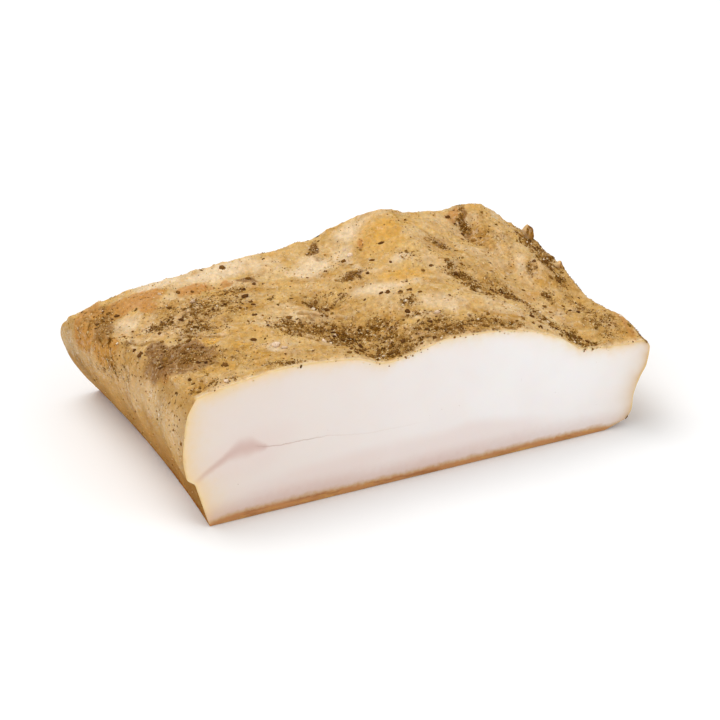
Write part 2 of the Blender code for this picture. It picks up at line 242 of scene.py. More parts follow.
# Fields of fine spice: X, Y, half length, half width, turn in degrees, density
SPICE_FIELDS = {
    "left field": (0.026, 0.07, 0.022, 0.014, 7, 0.5),
    "left field, dense left": (0.011, 0.072, 0.0066, 0.0043, 25, 0.8),
    "left field, dense front": (0.019, 0.052, 0.0066, 0.0044, 16, 0.8),
    "left field, far": (0.042, 0.082, 0.0095, 0.0062, 17, 0.6),
    "olive cluster": (0.053, 0.068, 0.0034, 0.0023, 68, 0.7),
    "before the valley": (0.051, 0.04, 0.0073, 0.0054, -84, 0.8),
    "valley, left": (0.052, 0.034, 0.013, 0.0084, -69, 0.8),
    "valley": (0.063, 0.027, 0.0135, 0.0091, -55, 1.0),
    "dip": (0.078, 0.021, 0.0106, 0.0074, 58, 0.9),
    "dip's mouth": (0.074, 0.005, 0.011, 0.005, -5, 0.9),
    "slope right of the dip": (0.092, 0.009, 0.013, 0.0075, 0, 1.0),
    "slope's end": (0.111, 0.009, 0.0092, 0.0048, -11, 0.8),
    "front brow": (0.124, 0.006, 0.0097, 0.0041, -20, 0.6),
    "front slope": (0.147, 0.013, 0.0102, 0.0048, -75, 0.9),
    "shelf's start": (0.154, 0.006, 0.0093, 0.0033, 88, 1.0),
    "shelf's cut edge": (0.162, 0.001, 0.0048, 0.0031, -5, 0.7),
    "trough, upper": (0.127, 0.054, 0.01, 0.0049, 73, 0.8),
    "trough": (0.129, 0.038, 0.0105, 0.0044, -83, 1.0),
    "trough, lower": (0.143, 0.036, 0.0088, 0.0046, -66, 0.9),
    "shelf band, left": (0.16, 0.037, 0.0056, 0.0037, -80, 0.8),
    "shelf band, right": (0.168, 0.032, 0.0063, 0.0038, -72, 0.8),
    "right edge, upper": (0.172, 0.077, 0.0124, 0.003, 82, 0.9),
    "right edge": (0.173, 0.061, 0.0135, 0.0034, 82, 0.9),
    "right knot": (0.163, 0.055, 0.0054, 0.0023, 71, 0.9),
    "crest trough": (0.153, 0.097, 0.0125, 0.0022, 72, 0.9),
    "by the crest": (0.133, 0.077, 0.0054, 0.0033, -66, 0.8),
    "row behind the middle": (0.114, 0.067, 0.0077, 0.0022, -69, 0.6),
    "left trough": (0.088, 0.102, 0.008, 0.0018, 58, 0.8),
    "brown mark": (0.09, 0.067, 0.0069, 0.0035, 24, 0.8),
    "middle cluster": (0.072, 0.055, 0.0095, 0.0073, -52, 0.55),
    "middle knot": (0.068, 0.06, 0.0051, 0.0027, 66, 0.8),
    "flake cluster": (0.097, 0.034, 0.0052, 0.0033, 72, 0.8),
    "pink field's marks": (0.099, 0.021, 0.0083, 0.0025, -32, 0.6),
    "grey patch": (0.005, 0.033, 0.0147, 0.0111, -53, 0.45),
    "grey patch's dark": (0.012, 0.031, 0.0056, 0.005, 46, 0.8),
    "fold's foot": (-0.005, 0.062, 0.0042, 0.0022, -54, 0.6),
    "far corner": (-0.007, 0.091, 0.0101, 0.0053, 72, 0.4),
    "cut edge, left": (0.009, 0.004, 0.0078, 0.0034, 8, 0.7),
    "left corner": (-0.004, 0.006, 0.0052, 0.0032, 70, 0.5),
    "cut edge, middle": (0.034, 0.005, 0.0095, 0.003, -12, 0.55),
    "right shelf": (0.171, 0.015, 0.014, 0.0067, 83, 0.4),
}

# Brown haze round the spice: X, Y, half length, half width, turn in degrees, strength
HAZE_ZONES = {
    "front left": (0.015, 0.019, 0.024, 0.0155, 13, 0.45),
    "front middle": (0.046, 0.012, 0.016, 0.01, 0, 0.4),
    "left field": (0.025, 0.068, 0.029, 0.019, 17, 0.55),
    "valley": (0.068, 0.028, 0.019, 0.015, -58, 0.95),
    "front slope": (0.102, 0.008, 0.03, 0.0085, -6, 1.0),
    "right slope": (0.158, 0.08, 0.024, 0.01, 80, 0.45),
    "trough": (0.138, 0.044, 0.022, 0.01, -75, 0.55),
    "right edge": (0.174, 0.068, 0.033, 0.005, 83, 0.9),
    "right shelf": (0.169, 0.02, 0.021, 0.01, -86, 0.55),
    "left shoulder": (-0.01, 0.07, 0.024, 0.007, 86, 0.85),
    "far corner": (-0.006, 0.094, 0.014, 0.01, 60, 0.75),
    "crest trough": (0.152, 0.098, 0.014, 0.005, 72, 0.5),
    "middle": (0.072, 0.054, 0.017, 0.011, -60, 0.5),
}

# Folds that show as a light line with a dark foot, a painted highlight and a painted shadow besides
# their relief: places along X and Y
FOLD_LINES = (
    (
        (-0.0048, 0.0652), (-0.0019, 0.058), (0.0042, 0.0552), (0.0107, 0.0514), (0.0174, 0.0479),
        (0.0229, 0.0385),
    ),
    ((-0.0048, 0.0652), (-0.0062, 0.056), (-0.0075, 0.047)),
    ((0.0458, 0.0332), (0.0486, 0.0268), (0.0516, 0.0227)),
    ((0.0591, 0.0501), (0.0654, 0.0476), (0.0712, 0.0438), (0.0754, 0.0386)),
    ((0.0907, 0.0253), (0.0957, 0.022), (0.1022, 0.0182)),
)
FOLD_WIDTH = 0.0008

# Single flakes that stand out: X, Y, length, turn in degrees, tone from dark to pale
LONE_FLAKES = {
    "dark chip on the hump": (0.109, 0.083, 0.0028, 70, 0.1),
    "dark chip in the left field": (0.047, 0.075, 0.0028, 20, 0.1),
    "leaf by the back edge": (0.05, 0.1045, 0.0028, 70, 0.3),
    "leaf by the long patch": (0.018, 0.081, 0.0026, 10, 0.3),
    "leaf by the knoll": (0.031, 0.029, 0.0024, -20, 0.2),
    "first of the middle row": (0.0919, 0.0475, 0.002, 40, 0.1),
    "second of the middle row": (0.094, 0.046, 0.0022, -10, 0.2),
    "third of the middle row": (0.098, 0.043, 0.0022, -20, 0.1),
    "chip behind the brow": (0.0926, 0.0262, 0.0022, 30, 0.1),
    "chip by the patch's dark": (0.0094, 0.0227, 0.0018, 0, 0.0),
    "next to it": (0.0072, 0.0247, 0.0016, 60, 0.0),
    "leaf under the patch": (0.014, 0.0159, 0.0026, 20, 0.3),
    "chip at the shoulder": (-0.006, 0.0492, 0.0024, 80, 0.2),
    "chip under the fold": (-0.0058, 0.056, 0.002, 40, 0.1),
    "chip at the near shoulder": (-0.0045, 0.0322, 0.0018, 0, 0.1),
    "olive bit by the back": (0.0545, 0.089, 0.0022, 30, 0.4),
    "olive bit, middle left": (0.0692, 0.0578, 0.0022, 10, 0.4),
    "olive bit, middle": (0.0659, 0.0555, 0.002, 70, 0.2),
    "olive bit by the valley": (0.07, 0.0495, 0.0024, -30, 0.2),
    "white chip by the knoll": (0.037, 0.0224, 0.003, 10, 1.0),
    "its tail": (0.0388, 0.0187, 0.0026, 0, 0.92),
    "pink chip in the valley": (0.0551, 0.0197, 0.0022, 50, 1.0),
    "pale chip in the valley": (0.064, 0.029, 0.0018, 20, 0.9),
    "pale chip behind the brow": (0.1018, 0.0199, 0.0026, -30, 0.95),
    "pale chip by the saddle": (0.0966, 0.0853, 0.0024, 0, 1.0),
    "pale chip above it": (0.0971, 0.0912, 0.002, 60, 0.95),
    "pale chip in the far field": (0.0193, 0.0938, 0.0018, 0, 0.9),
    "pale chip in the left field": (0.0274, 0.0796, 0.0026, 20, 0.9),
    "pale chip at the cut": (0.0094, 0.0032, 0.0024, 80, 1.0),
}

# Meat streak of the cut face, by X: its middle line, its half width, and the crack that goes on from it
STREAK_LINE = (
    (-0.0065, 0.0185), (0.0, 0.023), (0.005, 0.0258), (0.0095, 0.0283), (0.013, 0.0293),
    (0.017, 0.0293), (0.021, 0.0282), (0.026, 0.0273), (0.031, 0.027), (0.036, 0.0269),
    (0.048, 0.0262), (0.061, 0.0238), (0.075, 0.023), (0.09, 0.0227),
)
STREAK_HALF = (
    (-0.0065, 0.0009), (0.004, 0.001), (0.0095, 0.0016), (0.0145, 0.0022), (0.0185, 0.0016),
    (0.0225, 0.0008), (0.026, 0.0003), (0.09, 0.0002),
)
CRACK_SHOWS = ((0.018, 0.0), (0.023, 0.7), (0.04, 0.6), (0.05, 0.2), (0.075, 0.12), (0.09, 0.0))

# Thickness of the rind that the cut face shows, by X
RIND_LINE = (
    (-0.008, 0.0004), (0.003, 0.0014), (0.008, 0.0024), (0.02, 0.0027), (0.036, 0.0029),
    (0.06, 0.0022), (0.1, 0.002), (0.14, 0.0021), (0.16, 0.0018), (0.168, 0.001), (0.185, 0.0004),
)

# Largest values of the lines above, in metres
LINE_HIGH = 0.06
HALF_HIGH = 0.003
RIND_HIGH = 0.004

# Pink in the cut fat: X, Z, half length, half height, turn in degrees, strength
PINK_ZONES = {
    "round the streak": (0.012, 0.026, 0.022, 0.009, 15, 0.5),
    "over the rind, left": (0.045, 0.011, 0.034, 0.006, 0, 0.6),
    "over the rind, right": (0.102, 0.01, 0.042, 0.007, 0, 0.5),
}

# Tones of the spice, from dark to pale, in display values
GRAIN_TONES = {
    "flake": ((84, 48, 12), (110, 70, 22), (136, 94, 36), (162, 118, 56), (236, 208, 178)),
    "pepper": ((94, 54, 8), (118, 75, 17), (142, 96, 30), (164, 118, 50)),
    "herb": ((96, 61, 7), (120, 82, 18), (144, 104, 34)),
    "crumb": ((96, 55, 7), (126, 81, 20), (156, 109, 42), (190, 144, 74)),
    "pale": ((204, 160, 88), (222, 184, 122), (240, 214, 164)),
    "salt": ((222, 196, 160), (238, 216, 186)),
}

# Kinds of small grain: tones and settings, power and least value of the density, slot, thickness in
# shares, unevenness, and how deep they sit
GRAIN_KINDS = {
    "pepper_grains": ("pepper", 1.3, 0.01, "ground_pepper", (0.4, 0.7), 0.36, 0.88),
    "herb_flakes": ("herb", 1.2, 0.01, "dried_herb", (0.5, 0.8), 0.25, 0.9),
    "fine_crumbs": ("crumb", 1.1, 0.01, "ground_pepper", (0.5, 0.9), 0.25, 0.8),
    "pale_crumbs": ("pale", 0.8, 0.08, "pale_crumb", (0.5, 0.8), 0.22, 0.8),
    "salt_crystals": ("salt", 0.9, 0.06, "salt", (0.5, 0.9), 0.2, 0.8),
}

# Soft lights: place, size, strength, tint
LIGHTS = {
    "front right": ((0.75, -1.25, 0.75), 1.3, 8.5, (1.0, 0.99, 0.98)),
    "left": ((-1.5, -0.6, 0.9), 1.2, 4.0, (1.0, 0.98, 0.95)),
    "top back": ((-0.45, 0.55, 1.5), 1.2, 16.0, (1.0, 1.0, 1.0)),
}
LIGHT_AIM = Vector((0, 0, 0.03))
WORLD_STRENGTH = 0.55
FLOOR_DROP = 0.0002


def srgb(shown):
    """A colour given in display values from 0 to 255, as the linear values that shaders use."""
    shares = [c / 255 for c in shown]
    return tuple(s / 12.92 if s <= 0.04045 else ((s + 0.055) / 1.055) ** 2.4 for s in shares)


def length(name, default, description):
    return FloatProperty(
        name=name, description=description, default=default, unit="LENGTH", precision=5
    )


def colour(name, shown, description):
    return FloatVectorProperty(
        name=name, description=description, default=srgb(shown), size=3, subtype="COLOR", min=0, max=1
    )


def amount(name, default, description):
    return IntProperty(name=name, description=description, default=default)


def sizes(name, default):
    return FloatVectorProperty(
        name=name, description="Smallest and largest", default=default, size=2, unit="LENGTH"
    )


def angle(name, degrees, description):
    return FloatProperty(
        name=name, description=description, default=math.radians(degrees), subtype="ANGLE"
    )


class SlabShape(bpy.types.PropertyGroup):
    """Sizes of the slab."""

    depth: length("Depth", 0.115, "From the cut face to the back")
    lip_depth: length("Lip", 0.0026, "How far the lip of the left end stands out")
    undercut: length("Undercut", 0.0014, "How far the band under the lip is hollowed")
    base_bow: length("Base bow", 0.0022, "How far the base's left edge bows inward")
    back_round: length("Back rounding", 0.0070, "Radius of the back edge")
    back_belly: length("Back belly", 0.0022, "How far the back wall swells")
    crumble: length("Crumble", 0.00036, "Height of the crumbly relief under the spice")
    skin: length("Skin relief", 0.00036, "Height of the crust's own fine relief")
    wrinkle: length("Wrinkles", 0.00062, "Height of the crust's narrow wrinkles")
    fold: length("Folds", 0.00032, "Height of the drawn folds")
    overhang: length("Overhang", 0.0008, "How far crumbs of crust hang over the cut")
    rind: length("Rind", 0.0029, "Thickness of the rind")
    rim: length("Rim", 0.0021, "How far the yellow border reaches into the cut face")
    steps: IntVectorProperty(
        name="Steps", description="Faces along X, Y and Z", default=(268, 164, 54), size=3
    )


class SlabColours(bpy.types.PropertyGroup):
    """Colours of the slab."""

    tan: colour("Tan crust", (206, 167, 103), "Plain cured surface")
    ochre: colour("Ochre crust", (176, 128, 58), "Darker blotches of the surface")
    # Also laid as painted highlight on crests and on the knobs' lit side
    cream: colour("Cream crust", (225, 198, 160), "Pale fat that shows through")
    honey: colour("Honey crust", (208, 156, 72), "Translucent golden patches")
    meat: colour("Dried meat", (188, 130, 66), "Reddish brown patches")
    grey: colour("Grey patch", (139, 101, 66), "Dull spiced patch")
    # Also laid as painted shadow at the folds' feet
    stain_and_shadow: colour("Spice stain", (127, 85, 27), "Crust that ground spice has darkened")
    dust: colour("Spice dust", (98, 58, 8), "Fine ground spice")
    speck: colour("Dark specks", (62, 31, 2), "Darkest ground spice")
    # Also laid as painted glints on the crust
    crumb: colour("Pale specks", (240, 212, 162), "Crumbs of fat and garlic")
    side: colour("Ends", (193, 152, 94), "Smooth fat of the ends and the back")
    # Also painted shade: the walls darken towards the floor and under the left end's lip
    browned: colour("Browned base", (150, 101, 44), "Darker band low on the ends")
    fat: colour("Cut fat", (237, 234, 233), "Fresh cut face")
    # Also painted shade: the cut face is darker and warmer towards its tall left end
    warm_fat_shade: colour("Warm fat", (226, 214, 206), "Cut face at its tall end")
    fat_edge: colour("Fat near the crust", (228, 201, 152), "Yellow border of the cut face")
    dull_edge: colour("Fat at the low end", (197, 160, 100), "Dull border of the cut face's right end")
    fat_foot: colour("Fat near the rind", (200, 163, 148), "Dull border of the cut face over the rind")
    pink: colour("Pink fat", (224, 206, 199), "Faint pink over the rind")
    streak: colour("Meat streak", (204, 172, 162), "Thin streak of meat")
    crack: colour("Crack", (190, 162, 152), "Fine line that goes on from the streak")
    rind: colour("Rind", (188, 128, 72), "Skin under the fat")
    rind_dark: colour("Dark rind", (152, 92, 34), "Outer side of the skin")


class SpiceSettings(bpy.types.PropertyGroup):
    """Amounts and sizes of the spice."""

    flake_size: sizes("Coarse flakes", (0.0012, 0.0024))
    pepper_count: amount("Pepper grains", 800, "Broken dark grains")
    pepper_size: sizes("Pepper size", (0.0006, 0.0016))
    herb_count: amount("Herb flakes", 450, "Thin curled flakes")
    herb_size: sizes("Herb size", (0.0008, 0.0020))
    crumb_count: amount("Fine crumbs", 9000, "Ground spice")
    crumb_size: sizes("Crumb size", (0.0004, 0.0009))
    pale_count: amount("Pale crumbs", 3000, "Crumbs of fat and garlic")
    pale_size: sizes("Pale crumb size", (0.0004, 0.0011))
    salt_count: amount("Salt crystals", 60, "Coarse salt")
    salt_size: sizes("Salt size", (0.0005, 0.0014))


class StageSettings(bpy.types.PropertyGroup):
    """Camera, floor and lights."""

    azimuth: angle("Azimuth", -25.43, "Turn of the camera")
    elevation: angle("Elevation", 27.91, "Height of the view")
    distance: length("Distance", 0.95, "From the camera to its target")
    target: FloatVectorProperty(
        name="Target", description="Point at the middle of the view",
        default=(-0.0215, -0.0531, 0.0513), subtype="XYZ",
    )
    lens: FloatProperty(name="Lens", description="Focal length in millimetres", default=130.0)
    floor: colour("Floor", (250, 250, 250), "Plain pale floor")
    floor_size: length("Floor size", 6.0, "Side of the floor")


def through(points, at):
    """Reads a smooth line through (place, value) points, without overshoot, at an array of places."""
    places, values = np.array(points).T
    steps = np.diff(values) / np.diff(places)
    turns = steps[:-1] * steps[1:] > 0
    total = np.where(turns, steps[:-1] + steps[1:], 1)
    middle = np.where(turns, 2 * steps[:-1] * steps[1:] / total, 0)
    slopes = np.concatenate([steps[:1], middle, steps[-1:]])
    at = np.clip(at, places[0], places[-1])
    i = np.clip(np.searchsorted(places, at) - 1, 0, len(places) - 2)
    span = places[i + 1] - places[i]
    t = (at - places[i]) / span
    held = values[i] * (1 + 2 * t) * (1 - t) ** 2 + values[i + 1] * t**2 * (3 - 2 * t)
    return held + span * (slopes[i] * t * (1 - t) ** 2 - slopes[i + 1] * t**2 * (1 - t))


def ease(t):
    """Smooth step from 0 to 1."""
    t = np.clip(t, 0, 1)
    return t * t * (3 - 2 * t)


def turned(x, y, oval):
    """Places along and across an oval, in shares of its half length and half width."""
    centre_x, centre_y, half_long, half_wide, turn = oval[:5]
    angle = math.radians(turn)
    along = (x - centre_x) * math.cos(angle) + (y - centre_y) * math.sin(angle)
    across = (y - centre_y) * math.cos(angle) - (x - centre_x) * math.sin(angle)
    return along / half_long, across / half_wide


def grain(points, wave, stretch=(1, 1, 1), shift=0.0):
    """Smooth noise from -1 to 1 at an array of points, with bumps about one wave long."""
    scaled = points / (np.array(stretch) * wave) + shift
    return np.array([noise.noise(p) for p in scaled.tolist()])


def ripple(x, y, z):
    """Soft unevenness, as a length."""
    points = np.column_stack([x, y, z])
    return sum(height * grain(points, wave) for wave, height in RIPPLES)


def top_height(x, y, shape):
    """Height of the crust over the base."""
    back = y / shape.depth
    height = (1 - back) * through(CUT_TOP, x) + back * through(BACK_TOP, x)
    relief = ripple(x, y, 0 * x)
    for oval in SWELLS.values():
        along, across = turned(x, y, oval)
        relief += oval[5] * np.exp(-(along**2) - across**2)
    height += relief * ease(y / CUT_KEEP)
    bend = shape.back_round
    past = np.clip(y - (shape.depth - bend), 0, bend)
    return height - bend + np.sqrt(bend**2 - past**2)


def crease_height(v):
    """Share of the height at which the left end's crease runs."""
    return LIP_RISE[0] + (LIP_RISE[1] - LIP_RISE[0]) * v / LIP_REACH


def end_places(v, w, shape):
    """Places along X of the left and the right end, at shares of the depth and of the height."""
    left = (1 - v) * through(CUT_LEFT, w) + v * through(BACK_LEFT, w)
    crease = crease_height(v)
    strength = 1 - ease(v / LIP_REACH)
    left -= shape.lip_depth * strength * ease((w - crease) / LIP_STEP + 0.5)
    below = np.clip(w / crease, 0, 1)
    left += shape.undercut * strength * np.sin(math.pi * below) * ease(v / 0.05)
    left += shape.base_bow * 4 * v * (1 - v) * (1 - w)
    right = (1 - v) * through(CUT_RIGHT, w) + v * through(BACK_RIGHT, w)
    return left, right


def slab_points(cube, shape):
    """Places of the unit cube's points on the slab, from the corner of the base."""
    u, v, w = cube.T
    bend = shape.back_round
    left_top, right_top = end_places(v, np.ones_like(w), shape)
    y = v * (shape.depth - bend * (1 - math.sqrt(0.5)))
    height = top_height(left_top + u * (right_top - left_top), y, shape)
    z = w * height
    left, right = end_places(v, w, shape)
    x = left + u * (right - left)
    turn = bend * math.sqrt(0.5)
    above = np.clip(z - (height - turn), 0, turn)
    wall = shape.depth - bend + np.sqrt(bend**2 - above**2)
    inner = ease(8 * w * (1 - w))
    belly = shape.back_belly * np.sin(math.pi * w) ** 0.7
    belly += ripple(x, 0 * x + shape.depth, z) * inner
    y = np.where(v > HIGH_SIDE, wall + belly, y)
    sides = (u < LOW_SIDE) | (u > HIGH_SIDE)
    x = x + np.where(sides, ripple(x, y, z) * ease(y / CUT_KEEP) * inner, 0)
    return np.column_stack([x, y, z])


def zone_mask(points, zones, ragged, wave, axes=(0, 1), core=0.5, fade=0.8):
    """How strongly each point lies in the zones, with ragged edges; core and fade are shares."""
    x = points[:, axes[0]] + ragged * grain(points, wave, shift=3.1)
    y = points[:, axes[1]] + ragged * grain(points, wave, shift=7.7)
    mask = np.zeros(len(points))
    for oval in zones.values():
        along, across = turned(x, y, oval)
        mask = np.maximum(mask, oval[5] * (1 - ease((np.hypot(along, across) - core) / fade)))
    return mask


def wrinkles(points):
    """Narrow wrinkles that run along the slab: 1 on a crest, falling fast to 0 beside it."""
    wide = grain(points, 0.0100, (1.4, 1, 1), 21.0) + 0.3 * grain(points, 0.0040, shift=22.0)
    narrow = grain(points, 0.0052, (1.3, 1, 1), 23.0) + 0.2 * grain(points, 0.0024, shift=24.0)
    return np.clip(1 - np.abs(wide), 0, 1) ** 5, np.clip(1 - np.abs(narrow), 0, 1) ** 6


def folds(points):
    """The drawn folds, from 0 to 1: a crest on their far side, a foot on their near one; the relief
    raises the crest and sinks the foot, and the crust takes a painted highlight on the crest and a
    painted shadow on the foot.
    """
    crest, foot = np.zeros(len(points)), np.zeros(len(points))
    place = points[:, :2] + 0.0006 * grain(points, 0.004, shift=25.0)[:, None]
    for line in FOLD_LINES:
        nearest = np.full(len(points), 1.0)
        for start, end in zip(line[:-1], line[1:]):
            start, step = np.array(start), np.subtract(end, start)
            share = np.clip((place - start) @ step / (step @ step), 0, 1)
            offset = place - start - share[:, None] * step
            far = step[0] * offset[:, 1] > step[1] * offset[:, 0]
            away = np.hypot(*offset.T) * np.where(far, 1, -1)
            nearest = np.where(np.abs(away) < np.abs(nearest), away, nearest)
        crest = np.maximum(crest, np.exp(-(((nearest - FOLD_WIDTH) / (1.3 * FOLD_WIDTH)) ** 2)))
        foot = np.maximum(foot, np.exp(-(((nearest + FOLD_WIDTH) / FOLD_WIDTH) ** 2)))
    uneven = ease(0.75 + 1.2 * grain(points, 0.006, shift=26.0))
    return crest * uneven, foot * uneven


def spice_density(points, tops):
    """Share of the surface that spice covers: much in the fields, less on crests and the ends."""
    fields = zone_mask(points, SPICE_FIELDS, 0.0034, 0.009, core=0.40, fade=1.15)
    clumps = 0.58 + 1.0 * grain(points, 0.0055, (1.4, 1, 1), 1.3)
    clumps = ease(clumps + 0.9 * grain(points, 0.0023, shift=5.9))
    wide, narrow = wrinkles(points)
    clumps *= 1 - 0.75 * np.maximum(wide, 0.7 * narrow)
    sprinkle = 0.015 + 0.035 * ease(grain(points, 0.012, shift=9.1) + 0.3)
    sprinkle += 0.16 * clumps * zone_mask(points, HAZE_ZONES, 0.0040, 0.014, core=0.0, fade=1.6)
    smooth = np.maximum(
        zone_mask(points, CREAM_ZONES, 0.0020, 0.008), zone_mask(points, HONEY_ZONES, 0.0020, 0.008)
    )
    sprinkle *= 1 - 0.8 * smooth
    side = 0.006 + 0.05 * ease((points[:, 2] - 0.028) / 0.022)
    side += 0.5 * clumps * (points[:, 0] > 0.16) * ease((points[:, 2] - 0.030) / 0.008)
    return np.where(tops, np.maximum(fields * (0.15 + 0.85 * clumps), sprinkle), side)


def material(name, roughness, coat, coat_roughness, subsurface, radius, specular=0.5):
    """A Principled finish with its plain values set; returns it, its nodes and its shader."""
    made = bpy.data.materials.new(name)
    made.use_nodes = True
    tree = made.node_tree
    shader = tree.nodes["Principled BSDF"]
    values = {
        "Roughness": roughness,
        "Coat Weight": coat,
        "Coat Roughness": coat_roughness,
        "Subsurface Weight": subsurface,
        "Subsurface Radius": radius,
        "Subsurface Scale": 1.0,
        "Specular IOR Level": specular,
    }
    for socket, value in values.items():
        shader.inputs[socket].default_value = value
    return made, tree, shader


def add(tree, kind, **values):
    """A shader node with some of its settings or sockets set by name."""
    made = tree.nodes.new(kind)
    for name, value in values.items():
        if name in made.inputs:
            made.inputs[name].default_value = value
        else:
            setattr(made, name, value)
    return made


def blotch_group():
    """Shared pattern: soft noise of one grain size turned into a mask between two thresholds."""
    group = bpy.data.node_groups.get("Blotches")
    if group:
        return group
    group = bpy.data.node_groups.new("Blotches", "ShaderNodeTree")
    face = group.interface
    face.new_socket("Vector", in_out="INPUT", socket_type="NodeSocketVector")
    usual = {"Scale": 100.0, "Detail": 3.0, "Low": 0.4, "High": 0.6, "Warp": 0.0}
    for name, value in usual.items():
        socket = face.new_socket(name, in_out="INPUT", socket_type="NodeSocketFloat")
        socket.default_value = value
    for name in ("Mask", "Value"):
        face.new_socket(name, in_out="OUTPUT", socket_type="NodeSocketFloat")
    start = group.nodes.new("NodeGroupInput")
    end = group.nodes.new("NodeGroupOutput")
    cloud = add(group, "ShaderNodeTexNoise", Roughness=0.6)
    level = add(group, "ShaderNodeMapRange", interpolation_type="SMOOTHSTEP")
    for first, given, second, taken in (
        (start, "Vector", cloud, "Vector"),
        (start, "Scale", cloud, "Scale"),
        (start, "Detail", cloud, "Detail"),
        (start, "Warp", cloud, "Distortion"),
        (cloud, "Fac", level, "Value"),
        (start, "Low", level, "From Min"),
        (start, "High", level, "From Max"),
        (level, "Result", end, "Mask"),
        (cloud, "Fac", end, "Value"),
    ):
        group.links.new(first.outputs[given], second.inputs[taken])
    return group


class Weave:
    """Lays colour layers and masks over each other in one material, on a ground of one colour."""

    def __init__(self, tree, colours=None, ground=None):
        self.tree = tree
        self.colours = colours
        self.base = self.tone(ground) if ground else None
        self.where = add(tree, "ShaderNodeTexCoord").outputs["Object"]

    def link(self, start, end):
        self.tree.links.new(start, end)

    def tone(self, name):
        return tuple(getattr(self.colours, name))

    def paint(self, name, mask, share=1.0):
        """Lays one of the slab's colours over the base, where and as strongly as the mask says."""
        strength = mask if share == 1.0 else self.times(mask, share)
        self.base = self.layer(self.base, self.tone(name), strength)

    def pattern(self, output, vector, **values):
        made = add(self.tree, "ShaderNodeGroup", node_tree=blotch_group())
        for name, value in values.items():
            made.inputs[name].default_value = value
        self.link(vector or self.where, made.inputs["Vector"])
        return made.outputs[output]

    def blotch(self, scale, low, high, detail=3.0, warp=0.0, vector=None):
        """Soft blotches, as a mask between two thresholds."""
        return self.pattern("Mask", vector, Scale=scale, Low=low, High=high, Detail=detail, Warp=warp)

    def cloud(self, scale, detail=3.0, warp=0.0, vector=None):
        """The plain noise that blotches are cut from, about 0.3 to 0.7."""
        return self.pattern("Value", vector, Scale=scale, Detail=detail, Warp=warp)

    def mask(self, name):
        return add(self.tree, "ShaderNodeAttribute", attribute_name=name).outputs["Fac"]

    def stretched(self, scale, turn=0.0):
        made = add(self.tree, "ShaderNodeMapping", vector_type="TEXTURE")
        made.inputs["Scale"].default_value = [1 / s for s in scale]
        made.inputs["Rotation"].default_value = (0, 0, math.radians(turn))
        self.link(self.where, made.inputs["Vector"])
        return made.outputs["Vector"]

    def place(self):
        """Places along X and Z, from the base corner."""
        parts = add(self.tree, "ShaderNodeSeparateXYZ")
        self.link(self.where, parts.inputs["Vector"])
        return self.less(parts.outputs["X"], float(CUT_CORNER[0])), parts.outputs["Z"]

    def drawn(self, along, points, most):
        """Reads a curve through (place, value) points at a place, for values from 0 to most."""
        start, end = points[0][0], points[-1][0]
        share = add(self.tree, "ShaderNodeMapRange")
        share.inputs["From Min"].default_value = start
        share.inputs["From Max"].default_value = end
        self.link(along, share.inputs["Value"])
        made = add(self.tree, "ShaderNodeFloatCurve")
        curve = made.mapping.curves[0]
        while len(curve.points) < len(points):
            curve.points.new(0.5, 0.5)
        for point, (place, value) in zip(curve.points, points):
            point.location = ((place - start) / (end - start), value / most)
            point.handle_type = "AUTO_CLAMPED"
        made.mapping.update()
        self.link(share.outputs["Result"], made.inputs["Value"])
        return self.times(made.outputs["Value"], most)

    def shade(self, value, share=1.0):
        """Darkens or lightens the base by a plain value."""
        made = add(self.tree, "ShaderNodeCombineColor")
        for channel in made.inputs:
            self.link(value, channel)
        self.base = self.layer(self.base, made.outputs["Color"], share, blend="MULTIPLY")

    def math(self, operation, first, second=0.0, clamp=False):
        made = add(self.tree, "ShaderNodeMath", operation=operation, use_clamp=clamp)
        for socket, value in zip(made.inputs, (first, second)):
            if isinstance(value, (int, float)):
                socket.default_value = value
            else:
                self.link(value, socket)
        return made.outputs[0]

    def times(self, first, second, clamp=False):
        return self.math("MULTIPLY", first, second, clamp)

    def plus(self, first, second):
        return self.math("ADD", first, second)

    def less(self, first, second):
        return self.math("SUBTRACT", first, second)

    def range(self, value, low, high, to_low=0.0, to_high=1.0):
        made = add(self.tree, "ShaderNodeMapRange", interpolation_type="SMOOTHSTEP")
        limits = {"From Min": low, "From Max": high, "To Min": to_low, "To Max": to_high}
        for name, number in limits.items():
            made.inputs[name].default_value = number
        self.link(value, made.inputs["Value"])
        return made.outputs["Result"]

    def layer(self, under, over, mask, blend="MIX"):
        made = add(self.tree, "ShaderNodeMix", data_type="RGBA", blend_type=blend, clamp_factor=True)
        factor, first, second = made.inputs[0], made.inputs[6], made.inputs[7]
        for socket, value in ((first, under), (second, over)):
            if isinstance(value, bpy.types.NodeSocket):
                self.link(value, socket)
            else:
                socket.default_value = (*value, 1.0)
        if isinstance(mask, (int, float)):
            factor.default_value = mask
        else:
            self.link(mask, factor)
        return made.outputs[2]

    def bump(self, height, distance, strength=1.0, under=None, invert=False):
        made = add(self.tree, "ShaderNodeBump", Strength=strength, Distance=distance, invert=invert)
        self.link(height, made.inputs["Height"])
        if under:
            self.link(under, made.inputs["Normal"])
        return made.outputs["Normal"]


